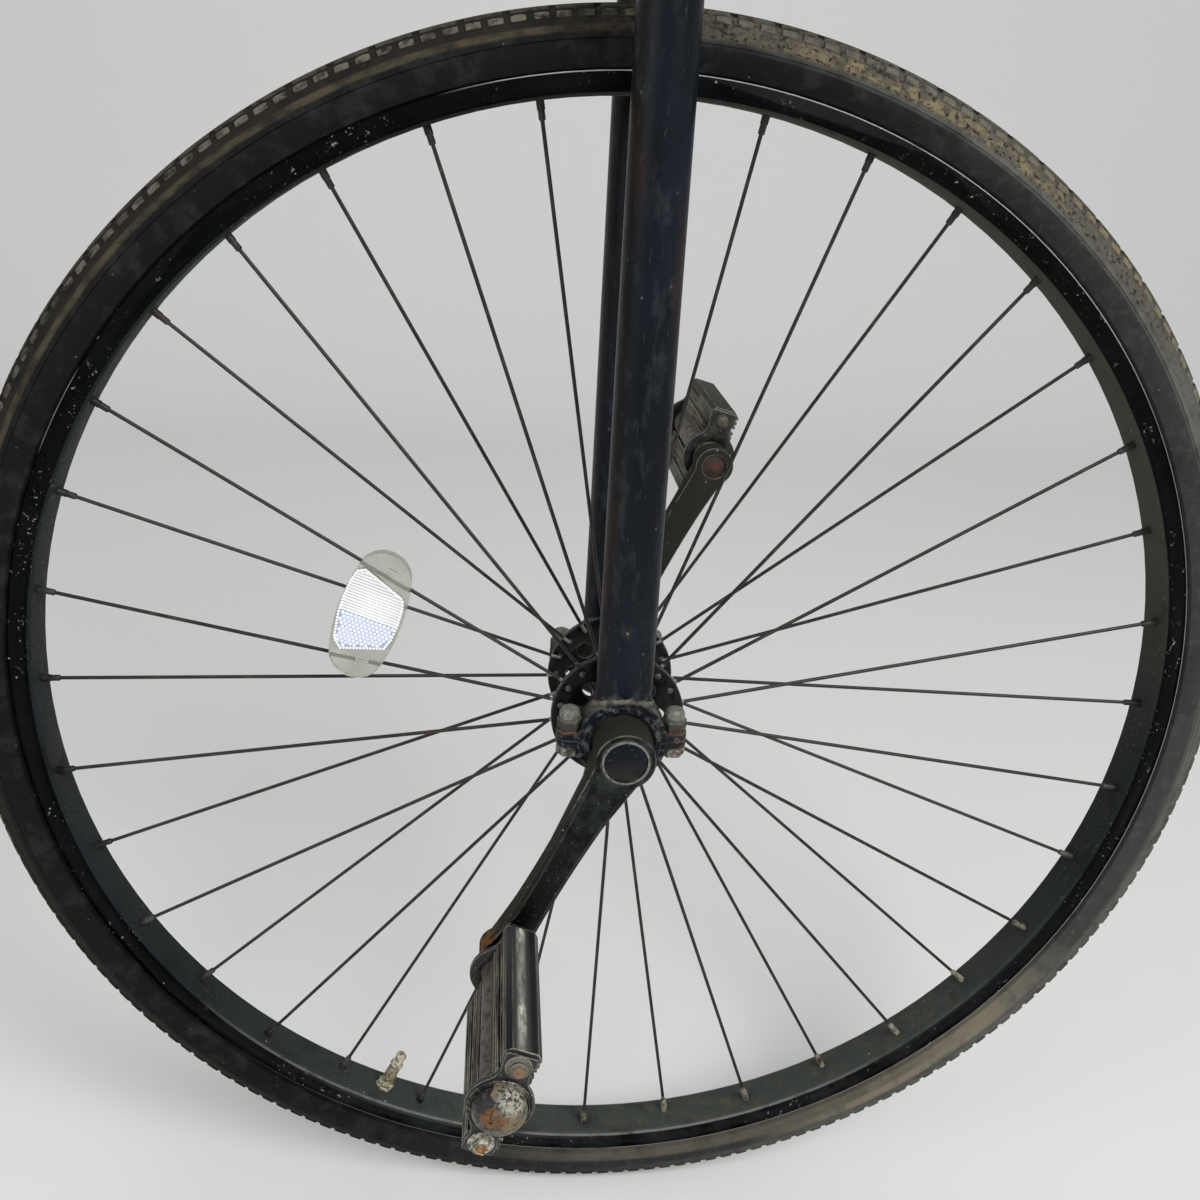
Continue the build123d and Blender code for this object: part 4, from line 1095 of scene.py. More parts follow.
@dataclass(frozen=True)
class PedalFixingSteel:
    """Plated fixings, corroded: grey rings, tan ends, and chalky white with orange on the lower nut."""

    side: Side
    lower: Vector
    ground: str = "#5d584d"
    pale: str = "#aaa595"
    black: str = "#1c1a18"
    chalk: str = "#cfcabb"
    tan: str = "#836448"
    rust: str = "#7f552c"

    def material(self) -> Material:
        """The fixings' material."""
        s = Surface(f"plated_fixing_steel_corroded_{self.side.tag}", self.ground, 0.5, 0.2)
        s.lay(s.patches(2.0, 0.5, 0.6, seed=1), self.black, 0.7, 0.0)
        s.lay(s.both(s.edges(0.5), s.patches(2.5, 0.3, 0.45, seed=2)), self.pale, 0.5)
        out = self.lower.dot(self.side.outward)
        ends = s.along(self.side.outward, out + 0.0034, out + 0.0038)
        s.lay(s.both(ends, s.patches(3, 0.3, 0.45, seed=5)), self.tan, 0.85, 0.0)
        below = s.near(self.lower, 7, 1.5)
        s.lay(s.both(below, s.patches(2.5, 0.46, 0.56, seed=3, detail=6)), self.chalk, 0.85, 0.0)
        s.lay(s.both(below, ends, s.patches(3, 0.3, 0.45, seed=4)), self.rust, 0.9, 0.0)
        s.swell(s.patches(1.0, 0.35, 0.65, seed=6), 0.1)
        return s.finish()


@dataclass(frozen=True)
class PedalRubber:
    """Moulded pedal rubber, black under brown dust: grey and pale along the left blocks' faces, partly worn
    where the shoe presses and partly a painted highlight, with painted shade on their shoulders.
    """

    side: Side
    outboard: Vector
    middle: Vector
    ground: str = "#0b0c0f"
    dust: str = "#4a4439"
    rib: str = "#6d6454"
    film: str = "#403d34"
    # The pressed, worn and bright colours paint the highlight along the left blocks' faces, partly as wear;
    # bright also marks worn edges.
    pressed: str = "#565752"
    worn: str = "#9a9a8f"
    bright: str = "#cfcebf"

    def material(self) -> Material:
        """The block's material."""
        s = Surface(f"pedal_rubber_dusty_{self.side.tag}", self.ground, 0.5)
        s.lay(s.patches(9, 0.2, 0.48, stretch=(1, 0.15, 1)), self.dust, 0.9)
        s.lay(s.both(s.patches(3, 0.5, 0.66, stretch=(1, 0.05, 1), seed=6), 0.6), self.rib, 0.9)
        for way in (self.outboard, -self.outboard):
            if self.side is Side.LEFT:
                self.lay_wear(s, way)
            else:
                s.lay(s.both(s.facing(way, 0.3, 0.7), s.patches(9, 0.15, 0.5, seed=7)), self.film, 0.9)
        s.lay(s.both(s.edges(0.8), s.patches(9, 0.42, 0.56, stretch=(1, 0.3, 1), seed=5)), self.bright, 0.7)
        s.swell(s.patches(1.3, 0.3, 0.7), 0.05)
        return s.finish(Specular_IOR_Level=0.3)

    def lay_wear(self, s: Surface, way: Vector) -> None:
        """Blacken a block's long face, lay a grey streak along its middle that is partly wear and partly a
        painted highlight, and paint shade on its shoulders.

        Args:
            s: the material's layers.
            way: the direction that the face looks in.
        """
        across = self.outboard.cross(ACROSS)
        face = s.facing(way, 0.9, 0.99)
        # The face is laid black; then a soft band of pressed grey along its middle is a painted highlight on
        # the rounded face.
        s.lay(face, self.ground, 0.5)
        s.lay(s.both(face, s.slab(self.middle, across, 0.6, 4.6)), self.pressed, 0.65)
        # The streak's pale flecks are worn rubber and partly painted highlight.
        streak = s.both(face, s.slab(self.middle, across, 0.5, 2.2))
        s.lay(s.both(streak, s.patches(6, 0.38, 0.6, stretch=(1, 0.3, 1), seed=3)), self.worn, 0.7)
        s.lay(s.both(streak, s.patches(5, 0.54, 0.64, stretch=(1, 0.25, 1), seed=8)), self.bright, 0.8)
        # Painted shade: the shoulders beside the face are laid black.
        shoulder = s.both(s.facing(way, 0.5, 0.62), s.facing(way, 0.86, 0.8))
        s.lay(shoulder, self.ground, 0.4)


@dataclass(frozen=True)
class ClearPlastic:
    """Clear acrylic, moulded: water-clear with a slight frost of scratches and dust."""

    name: str = "moulded_acrylic_clear"
    ground: str = "#dfdfd6"
    frost: str = "#a6a699"
    clear: float = 0.78

    def material(self) -> Material:
        """The reflector body's material."""
        s = Surface(self.name, self.ground, 0.12)
        s.lay(s.both(s.patches(9, 0.3, 0.8), 0.5), self.frost, 0.3)
        s.swell(s.patches(5, 0.3, 0.7), 0.03)
        return s.finish(Transmission_Weight=self.clear, IOR=1.49)


@dataclass(frozen=True)
class PrismPlastic:
    """Acrylic prism panel, silvered behind: white, with painted shade in grey in its cuts and a faint painted
    glow for the light it returns.
    """

    name: str = "prism_acrylic_white"
    ground: str = "#ffffff"
    cut: str = "#c3c7cf"
    low: str = "#8d99b4"
    glow: float = 0.1
    division: Optional[Vector] = None
    down: Vector = UP
    pitch: float = 1.6

    def material(self) -> Material:
        """The panel's material; with a division, it is blue-grey below it and striped with painted groove
        shade above.
        """
        s = Surface(self.name, self.ground, 0.25)
        if self.division is not None:
            # Painted shade: grey stripes where the ribs' grooves lie.
            s.lay(s.stripes(self.division, self.down, self.pitch, 0.28), self.cut, 0.3)
            start = self.division.dot(self.down)
            s.lay(s.along(self.down, start, start + 0.0002), self.low, 0.3)
        # Painted glow: the panel gives off a little white light of its own, standing in for the light that it
        # returns.
        return s.finish(IOR=1.49, Emission_Color=linear(self.ground), Emission_Strength=self.glow)


@dataclass(frozen=True)
class ValveBrass:
    """Turned brass, tarnished: khaki, pale on the crests and brown in the threads."""

    ground: str = "#7d7459"
    pale: str = "#b9b29c"
    dark: str = "#4a412c"
    cream: str = "#cfc9b4"

    def material(self) -> Material:
        """The valve's material."""
        s = Surface("turned_brass_tarnished", self.ground, 0.5, 0.45)
        s.lay(s.patches(3, 0.45, 0.65), self.pale, 0.6, 0.2)
        s.lay(s.patches(2.5, 0.5, 0.66, seed=3), self.dark, 0.8, 0.0)
        s.lay(s.both(s.ring(281, 290, 1), s.patches(2.4, 0.4, 0.55, seed=4)), self.cream, 0.6, 0.2)
        s.lay(s.both(s.ring(304.5, 309, 0.8), s.patches(2.4, 0.42, 0.56, seed=5)), self.cream, 0.6, 0.2)
        s.swell(s.patches(0.7, 0.3, 0.7), 0.04)
        return s.finish()


@dataclass(frozen=True)
class BearingSeal:
    """Nitrile bearing seal, black, in a dull steel ring: greasy, with brown dirt at its lip."""

    ground: str = "#161514"
    dirt: str = "#3a322a"

    def material(self) -> Material:
        """The seal's material."""
        s = Surface("nitrile_seal_black", self.ground, 0.5)
        s.lay(s.patches(4, 0.4, 0.6), self.dirt, 0.8)
        s.swell(s.patches(1, 0.3, 0.7), 0.03)
        return s.finish()


@dataclass(frozen=True)
class Backdrop:
    """Matt painted board, pale: the studio's floor and wall."""

    name: str = "matt_board_pale"
    colour: str = "#e4e5e3"
    cloud: str = "#dfe0dd"
    lift: float = 0.13

    def material(self) -> Material:
        """The board's material; it looks a little paler than it is lit, also in metal and through glass."""
        s = Surface(self.name, self.colour, 0.9)
        s.lay(s.both(s.patches(700, 0.3, 0.7), 0.25), self.cloud)
        return s.finish(Specular_IOR_Level=0.2, Emission_Color=linear(self.colour),
                        Emission_Strength=s.both(sight_rays(s.tree), self.lift))


# ---------------------------------------------------------------- the studio


@dataclass
class Studio:
    """Floor, wall, lamps and the camera at the photograph's viewing angle; sizes in metres."""

    camera_place: Vector = Vector((-0.06725, -0.61354, -0.11736))
    camera_right: Vector = Vector((0.99605, -0.07120, 0.05303))
    camera_up: Vector = Vector((-0.02293, 0.37072, 0.92847))
    camera_back: Vector = Vector((-0.08576, -0.92601, 0.36762))
    lens: float = 36.46
    sensor: float = 36.0
    wall_distance: float = 1.9
    bend: float = 0.6
    reach: float = 12.0
    softboxes: tuple = (("key_softbox", (1.1, -1.7, 1.35), 1.3, 50.0),
                        ("fill_softbox", (-1.9, -1.3, 0.5), 1.5, 15.0))
    light_colour: str = "#f4f6f8"
    light_strength: float = 0.36
    seen_colour: str = "#dfe1e0"
    seen_strength: float = 0.8

    def build(self) -> None:
        """Make the whole studio."""
        self.camera()
        self.boards()
        self.lamps()
        self.world()

    def camera(self) -> None:
        """Place the camera that was worked out from the wheel's own circles."""
        data = bpy.data.cameras.new("camera")
        data.lens = self.lens
        data.sensor_width = self.sensor
        camera = bpy.data.objects.new("camera", data)
        bpy.context.collection.objects.link(camera)
        view = Matrix((self.camera_right, self.camera_up, self.camera_back)).transposed().to_4x4()
        view.translation = self.camera_place
        camera.matrix_world = view
        bpy.context.scene.camera = camera

    def boards(self) -> None:
        """Lay the floor under the tyre and curve it up into the wall."""
        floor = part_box("tyre")[0].z
        lay_down_tools()
        bpy.ops.mesh.primitive_plane_add(size=self.reach,
                                         location=(0, self.wall_distance - self.reach / 2, floor))
        board = bpy.context.object
        board.name = "studio_board"
        back = [all(board.data.vertices[v].co.y > 0 for v in edge.vertices) for edge in board.data.edges]
        mark(board, back, "EDGE")
        bpy.ops.mesh.spin(steps=12, angle=-math.pi / 2, axis=(1, 0, 0),
                          center=(0, self.wall_distance, floor + self.bend))
        bpy.ops.mesh.extrude_region_move(TRANSFORM_OT_translate={"value": (0, 0, self.reach / 2)})
        bpy.ops.object.mode_set(mode="OBJECT")
        bpy.ops.object.shade_smooth()
        settle(board, board.matrix_world.copy())
        board.data.materials.append(Backdrop().material())

    def lamps(self) -> None:
        """Hang the two soft boxes, each turned to the axle."""
        for name, place, size, power in self.softboxes:
            data = bpy.data.lights.new(name, "AREA")
            data.shape = "SQUARE"
            data.size = size
            data.energy = power
            lamp = bpy.data.objects.new(name, data)
            bpy.context.collection.objects.link(lamp)
            lamp.matrix_world = site(Vector(place), Vector(place) - AXLE, AHEAD)

    def world(self) -> None:
        """Light the rest of the room evenly, and show it pale."""
        world = bpy.data.worlds.new("even_room")
        world.use_nodes = True
        tree = world.node_tree
        light = tree.nodes["Background"]
        light.inputs["Color"].default_value = linear(self.light_colour)
        light.inputs["Strength"].default_value = self.light_strength
        seen = add_node(tree, "Background",
                        {"Color": linear(self.seen_colour), "Strength": self.seen_strength})
        mix = add_node(tree, "MixShader", {0: sight_rays(tree), 1: light.outputs[0], 2: seen.outputs[0]})
        tree.links.new(mix.outputs[0], tree.nodes["World Output"].inputs["Surface"])
        bpy.context.scene.world = world
        bpy.context.scene.view_settings.view_transform = "Standard"


# ---------------------------------------------------------------- the wheel


@dataclass
class Tyre:
    """The road tyre: a spun carcass with crown blocks, shoulder lumps and mould lines.

    Places on its section are given by the angle from the crown, in degrees, and by the distance
    from the section circle. A period is one long crown block, and it has as many columns of faces.
    """

    section_centre: float = 331.1
    section_radius: float = 18.9
    inner_radius: float = 15.5
    crown_base: float = 17.5
    crown_rise: float = 1.25
    lump_base: float = 17.75
    lump_rise: float = 0.95
    carcass: float = 16.6
    slope: float = 0.6
    corner: float = 1.9
    sharp: float = 26.0
    periods: int = 105
    columns: int = 8
    band: float = 6.0
    crown_end: float = 27.0
    lump_span: tuple = (31.0, 47.0)
    shoulder_points: tuple = ((52, 17.6), (57, 17.7), (61, 17.85), (66, 18.1), (69, 18.35), (70, 18.15),
                              (71, 18.4), (75, 18.7), (79.3, 18.9), (80.2, 18.4), (81.1, 18.9))
    bead: tuple = ((321.7, 12.6), (315.2, 12.6), (315.2, 9.45))

    def on_section(self, angle: float, far: float) -> tuple:
        """The (radius, height) of a place on the section, in millimetres."""
        turn = math.radians(angle)
        return self.section_centre + far * math.cos(turn), far * math.sin(turn)

    def profile(self) -> list:
        """The section's outline.

        Returns:
            The closed outline as (radius, height) in millimetres.
        """
        half = [(a, self.crown_base) for a in (2, 6, 11.2, 16.5, 21.8, 27)]
        half += [(a, self.lump_base) for a in (31, 35, 39, 43, 47)]
        half += [*self.shoulder_points, *((a, self.section_radius) for a in (87, 94, 101, 109, 117))]
        outer = [self.on_section(-angle, far) for angle, far in reversed(half)]
        outer += [self.on_section(angle, far) for angle, far in half]
        inner = [self.on_section(angle, self.inner_radius)
                 for angle in (142.4, 110, 75, 40, 0, -40, -75, -110, -142.4)]
        return [*outer, *self.bead, *inner, *((r, -z) for r, z in reversed(self.bead)), outer[0]]

    def build(self) -> None:
        """Spin the carcass and raise the tread on it."""
        piece = turned("road_tyre", self.profile(), self.periods * self.columns, angle=self.sharp)
        for pick, rise in ((self.crown_faces, self.crown_rise), (self.lump_faces, self.lump_rise)):
            mark(piece, pick(*self.places(piece)))
            bpy.ops.mesh.inset(thickness=self.slope * MM, depth=rise * MM)
            bpy.ops.object.mode_set(mode="OBJECT")
            self.clip_corners(piece)
        close_up(piece, angle=self.sharp)
        settle(piece, site(AXLE, ACROSS, AHEAD))
        dress(piece, TyreRubber().material(), "wheel", "tyre", "tyre")

    def places(self, piece: Piece) -> tuple:
        """Where each face of the carcass lies.

        Args:
            piece: the carcass in its own frame.

        Returns:
            Each face's column, its angle from the crown and its distance from the section circle.
        """
        centres = face_centres(piece)
        reach = np.hypot(centres[:, 0], centres[:, 1]) - self.section_centre
        turn = np.degrees(np.arctan2(centres[:, 1], centres[:, 0])) % 360
        column = np.floor(turn / 360 * self.periods * self.columns)
        return column, np.degrees(np.arctan2(centres[:, 2], reach)), np.hypot(reach, centres[:, 2])

    def crown_faces(self, column: np.ndarray, slope: np.ndarray, far: np.ndarray) -> np.ndarray:
        """Pick the crown: a band round the middle with a long block on either side in each period.

        Args:
            column: each face's column.
            slope: its angle from the crown.
            far: its distance from the section circle.

        Returns:
            One truth value for each face.
        """
        shift = np.where(slope > 0, 0, self.columns // 2)
        block = (column + shift) % self.columns < self.columns - 1
        return (far > self.carcass) & ((abs(slope) < self.band) | (block & (abs(slope) < self.crown_end)))

    def lump_faces(self, column: np.ndarray, slope: np.ndarray, far: np.ndarray) -> np.ndarray:
        """Pick the shoulders: two lumps beside each long block.

        Args:
            column: each face's column.
            slope: its angle from the crown.
            far: its distance from the section circle.

        Returns:
            One truth value for each face.
        """
        low, high = self.lump_span
        half = self.columns // 2
        return (far > self.carcass) & (abs(slope) > low) & (abs(slope) < high) & (column % half < half - 1)

    def clip_corners(self, piece: Piece) -> None:
        """Cut the outer corners off the block tops, which the inset left selected.

        Args:
            piece: the carcass.
        """
        mesh = piece.data
        uses = np.zeros(len(mesh.vertices), int)
        for face in mesh.polygons:
            if face.select:
                uses[list(face.vertices)] += 1
        mark(piece, uses == 1, "VERT")
        bpy.ops.mesh.bevel(offset=self.corner * MM, segments=1, affect="VERTICES")
        bpy.ops.object.mode_set(mode="OBJECT")


@dataclass
class Rim:
    """The enamelled steel rim, with a rolled edge that is worn and carries a painted highlight."""

    rounding: tuple = (0.5, 2)

    def build(self) -> None:
        """Round the rim's edges and finish it."""
        refit("rim", "steel_rim", self.rounding, RimEnamel().material(), "wheel", "rim_enamel")


@dataclass
class Lacing:
    """One flange's radial spokes: domed heads, pressed elbows, drawn wire and nipples."""

    side: Side
    count: int = 18
    phase: float = 9.6
    wire_radius: float = 1.0
    circle: float = 31.5
    flange: float = 28.0
    corner: float = 22.1
    bend: float = 2.4
    rim_point: tuple = (311.6, 2.5)
    nipple_start: float = 10.0
    head: tuple = ((0, 1.4), (0.9, 1.3), (1.5, 0.95), (1.85, 0.45), (1.9, 0), (0, 0))
    nipple: tuple = ((0, 0), (1.35, 0), (1.7, 0.5), (1.7, 4.6), (2.0, 4.9), (2.0, 9.4), (2.6, 9.8),
                     (2.6, 10.6), (0, 10.6))

    def angles(self) -> list:
        """The spokes' angles.

        Returns:
            Angles in degrees, from +X towards +Z.
        """
        step = 360 / self.count
        start = self.phase + (step / 2 if self.side is Side.RIGHT else 0)
        return [start + step * turn for turn in range(self.count)]

    def build(self) -> None:
        """Make one spoke of each part, lace the flange with copies and finish them."""
        place = site(AXLE, self.side.outward, AHEAD)
        rim_end = Vector((self.rim_point[0], 0, self.rim_point[1]))
        corner = Vector((self.circle, 0, self.corner))
        way = (rim_end - corner).normalized()
        in_flange = place @ Matrix.Translation(Vector((self.circle, 0, self.flange)) * MM)
        at_rim = place @ site((rim_end - way * self.nipple_start) * MM, way, ACROSS)
        head_steel = ZincSteel(name="spoke_head_steel_dull", ground="#3f403f", bloom="#6c6d6a",
                               dirt="#201e1b", rust_low=0.66, metallic=0.2)
        nipple_steel = SpokeSteel(name="nipple_steel_dull", ground="#1f1f1f", bloom="#4b4a46",
                                  rust_share=0.35)
        for piece, name, finish in (
                (settle(self.wire(corner, way, rim_end), place), "spoke_wires", SpokeSteel()),
                (turned("head", self.head, 14, in_flange), "spoke_heads", head_steel),
                (turned("nipple", self.nipple, 12, at_rim, angle=40), "spoke_nipples", nipple_steel)):
            laced = round_the_axle(piece, self.angles(), f"{name}_{self.side.tag}")
            dress(laced, finish.material(), "wheel", "spoke_steel", f"spokes_{self.side.tag}")

    def wire(self, corner: Vector, way: Vector, rim_end: Vector) -> Piece:
        """Draw one wire through the flange, round its elbow and out to the nipple.

        Args:
            corner: where the elbow's two straight lines meet, in millimetres.
            way: the wire's direction beyond the elbow.
            rim_end: where the wire meets the rim, in millimetres.

        Returns:
            The wire, in its own frame.
        """
        bend_angle = math.acos(way.dot(-UP))
        tangent = self.bend * math.tan(bend_angle / 2)
        start = Vector((self.circle, 0, self.flange + 0.3))
        bend_start = corner + UP * tangent
        lay_down_tools()
        bpy.ops.mesh.primitive_circle_add(vertices=10, radius=self.wire_radius * MM)
        piece = begin("spoke_wire")
        bpy.ops.transform.translate(value=start * MM)
        bpy.ops.mesh.extrude_region_move(TRANSFORM_OT_translate={"value": (bend_start - start) * MM})
        bpy.ops.mesh.spin(steps=7, angle=bend_angle, axis=(0, 1, 0),
                          center=(bend_start + AHEAD * self.bend) * MM)
        run = rim_end - way * (self.nipple_start - 1.0) - (corner + way * tangent)
        bpy.ops.mesh.extrude_region_move(TRANSFORM_OT_translate={"value": run * MM})
        return close_up(piece)


@dataclass
class Hub:
    """The perforated hub, its axle and the two bearings' rings and seals."""

    rounding: tuple = (0.35, 2)
    seal_faces: tuple = ((45.8, -1), (56.2, 1))
    lip: tuple = ((12.6, -0.3), (13.3, 0.35), (14.0, -0.1), (15.2, -0.1), (15.8, 0.25), (16.4, -0.3),
                  (12.6, -0.3))

    def build(self) -> None:
        """Round the hub's edges, fit the seals' lips and finish the rest."""
        refit("hub_shell", "hub_shell_body", self.rounding, HubEnamel().material(), "wheel", "hub_enamel")
        steel = ZincSteel(name="bearing_steel_dull", ground="#4d4b47", rust_low=0.62).material()
        seal = BearingSeal().material()
        paint_node("axle", steel)
        for side in Side:
            paint_node(f"bearing_inner_{side.tag}", steel)
            # The outer rings take the black seal finish, which also stands as painted shade in the holder's
            # recess.
            paint_node(f"bearing_outer_{side.tag}", seal)
            lips = []
            for face, way in self.seal_faces:
                place = site(AXLE + side.outward * face * MM, side.outward * way, AHEAD)
                lips.append(turned("lip", self.lip, 64, place))
            dress(join(lips, f"bearing_lips_{side.tag}"), seal, "fork", "raw_steel")


# ---------------------------------------------------------------- the fork


@dataclass
class BearingHolder:
    """One side's split holder: arch, strap, weld bead, cap nuts, washers and bolt heads.

    The profiles of what is turned start at the face that carries it.
    """

    side: Side
    rounding: tuple = (1.6, 5)
    middle: float = 51.0
    bolt_offset: float = 27.4
    ear: float = 4.0
    arch: float = 23.4
    outer_face: float = 59.0
    flats: float = 11.4
    foot_radius: float = 14.6
    foot_depth: float = 7.6
    bead: float = 2.0
    bead_steps: int = 96
    bead_ripple: float = 0.12
    shoulder: tuple = ((20.2, -1.6), (17.3, -1.6), (17.0, -1.2), (17.0, -0.5), (17.6, 0), (20.2, 0),
                       (20.2, -1.6))
    washer: tuple = ((3.2, 0), (6.4, 0), (6.5, 0.3), (6.4, 0.9), (3.2, 0.9), (3.2, 0))
    dome: tuple = ((4.9, 6.6), (5.45, 7.3), (5.5, 8.8), (5.2, 10.6), (4.4, 12.1), (2.6, 13.1), (0, 13.4))
    lower_washer: tuple = ((3.2, 0), (6.4, 0), (6.4, -0.9), (3.2, -0.9), (3.2, 0))

    def build(self, paint: Material, nut_steel: Material) -> None:
        """Model and finish the holder.

        Args:
            paint: the fork's finish.
            nut_steel: the nuts' finish.
        """
        tag = self.side.tag
        for node, name in (("bearing_holder", "holder_arch"), ("bearing_cap", "holder_strap")):
            refit(f"{node}_{tag}", f"{name}_{tag}", self.rounding, paint, "fork", "fork_paint")
        face = raised(site(AXLE, self.side.outward, AHEAD), self.outer_face)
        dress(turned(f"holder_shoulder_{tag}", self.shoulder, 96, face), paint, "fork", "fork_paint")
        fixings = []
        for way in (-1, 1):
            foot = AXLE + self.side.outward * self.middle * MM + AHEAD * way * self.bolt_offset * MM
            above = raised(site(foot, UP, ACROSS), self.ear)
            below = raised(above, -2 * self.ear)
            fixings += [turned("washer", self.washer, 32, above),
                        hexagon("nut", self.flats, 0.9, 7.0, 0.6, above),
                        turned("dome", self.dome, 32, above),
                        turned("lower_washer", self.lower_washer, 32, below),
                        hexagon("head", self.flats, -5.9, -0.9, 0.7, below),
                        turned("shank", [(0, 0), (3, 0), (3, 2 * self.ear), (0, 2 * self.ear)], 20, below)]
        dress(join(fixings, f"holder_fixings_{tag}"), nut_steel, "fork", "nut_steel", f"holder_bolts_{tag}")
        self.weld()

    def weld(self) -> None:
        """Run a lumpy bead where the blade's pressed foot meets the arch."""
        lay_down_tools()
        bpy.ops.mesh.primitive_torus_add(major_segments=self.bead_steps, minor_segments=12,
                                         minor_radius=self.bead * MM, major_radius=self.foot_radius * MM)
        piece = bpy.context.object
        piece.name = f"weld_bead_{self.side.tag}"
        ripple = np.random.default_rng(7).normal(0, self.bead_ripple, self.bead_steps)
        middle = AXLE + self.side.outward * self.middle * MM
        for point in piece.data.vertices:
            spot = point.co / MM
            turn = math.atan2(spot.y, spot.x)
            fat = 1 + ripple[int(turn / math.tau * self.bead_steps) % self.bead_steps]
            centre = Vector((math.cos(turn), math.sin(turn), 0)) * self.foot_radius
            off = (spot - centre) * fat
            height = math.sqrt(self.arch ** 2 - centre.x ** 2) + self.bead / 3
            ring = Vector((centre.x, centre.y * self.foot_depth / self.foot_radius, height))
            point.co = middle + (ring + off) * MM
        dress(close_up(piece, angle=60), WeldBead().material(), "fork", "fork_paint")


@dataclass
class Fork:
    """Blades, crown, race and the threaded steerer."""

    crown_rounding: tuple = (1.4, 3)
    race_rounding: tuple = (0.3, 2)
    tube: float = 12.7
    bore: float = 11.1
    thread_root: float = 12.15
    thread_length: float = 38.0
    thread_pitch: float = 1.058

    def build(self) -> None:
        """Model and finish the fork."""
        paint = ForkEnamel().material()
        nut_steel = NutSteel().material()
        for side in Side:
            blade = f"blade_tube_{side.tag}"
            refit(f"fork_blade_{side.tag}", blade, (0.0,), paint, "fork", "fork_paint")
            BearingHolder(side).build(paint, nut_steel)
        refit("fork_crown", "crown_forging", self.crown_rounding, paint, "fork", "fork_paint")
        steel = ZincSteel(name="steerer_steel_bare", ground="#6a6864", rust_low=0.66, metallic=0.7).material()
        refit("crown_race", "race_ring", self.race_rounding, steel, "fork", "raw_steel")
        dress(self.steerer(), steel, "fork", "raw_steel", "steerer")

    def steerer(self) -> Piece:
        """Turn the steering tube and cut the thread at its top.

        Returns:
            The tube.
        """
        low, high = (corner.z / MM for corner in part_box("steerer"))
        start = high - self.thread_length
        profile = [(self.bore, high), (self.bore, low), (13.2, low), (13.2, 0), (self.tube, 0),
                   (self.tube, start - 0.8)]
        for turn in range(int(self.thread_length / self.thread_pitch)):
            place = start + turn * self.thread_pitch
            profile += [(self.thread_root, place), (self.tube, place + self.thread_pitch / 2)]
        profile += [(self.thread_root, high - 0.6), (12.0, high), (self.bore, high)]
        return turned("steering_tube", profile, 64)


# ---------------------------------------------------------------- cranks and pedals


@dataclass
class Crank:
    """One crank with its dust cap and the pedal axle's end in its eye."""

    side: Side
    arm_rounding: tuple = (1.1, 3, 30)
    axle_rounding: tuple = (0.5, 2)
    cap: tuple = ((0, 77.6), (12.3, 77.6), (12.3, 80.2), (12.05, 80.55), (11.0, 80.6), (10.75, 80.3),
                  (10.65, 79.8), (9.6, 79.75), (9.3, 79.9), (0, 79.95))

    @property
    def arm(self) -> Vector:
        """The direction from the axle to the crank's eye in the wheel's plane."""
        reach = joint_place(f"pedal_{self.side.tag}_spin") - AXLE
        return Vector((reach.x, 0, reach.z)).normalized()

    def build(self, steel: Material) -> None:
        """Model and finish the crank.

        Args:
            steel: the pedal axle's finish.
        """
        tag = self.side.tag
        enamel = CrankEnamel(self.side, self.arm).material()
        refit(f"crank_{tag}", f"crank_forging_{tag}", self.arm_rounding, enamel, "wheel", "crank_enamel")
        cap = turned(f"dust_cap_{tag}", self.cap, 72, site(AXLE, self.side.outward, self.arm))
        dress(cap, CapPlastic().material(), "wheel", "cap_plastic", f"crank_cap_{tag}")
        refit(f"pedal_spindle_{tag}", f"pedal_axle_{tag}", self.axle_rounding, steel, "wheel", "raw_steel")


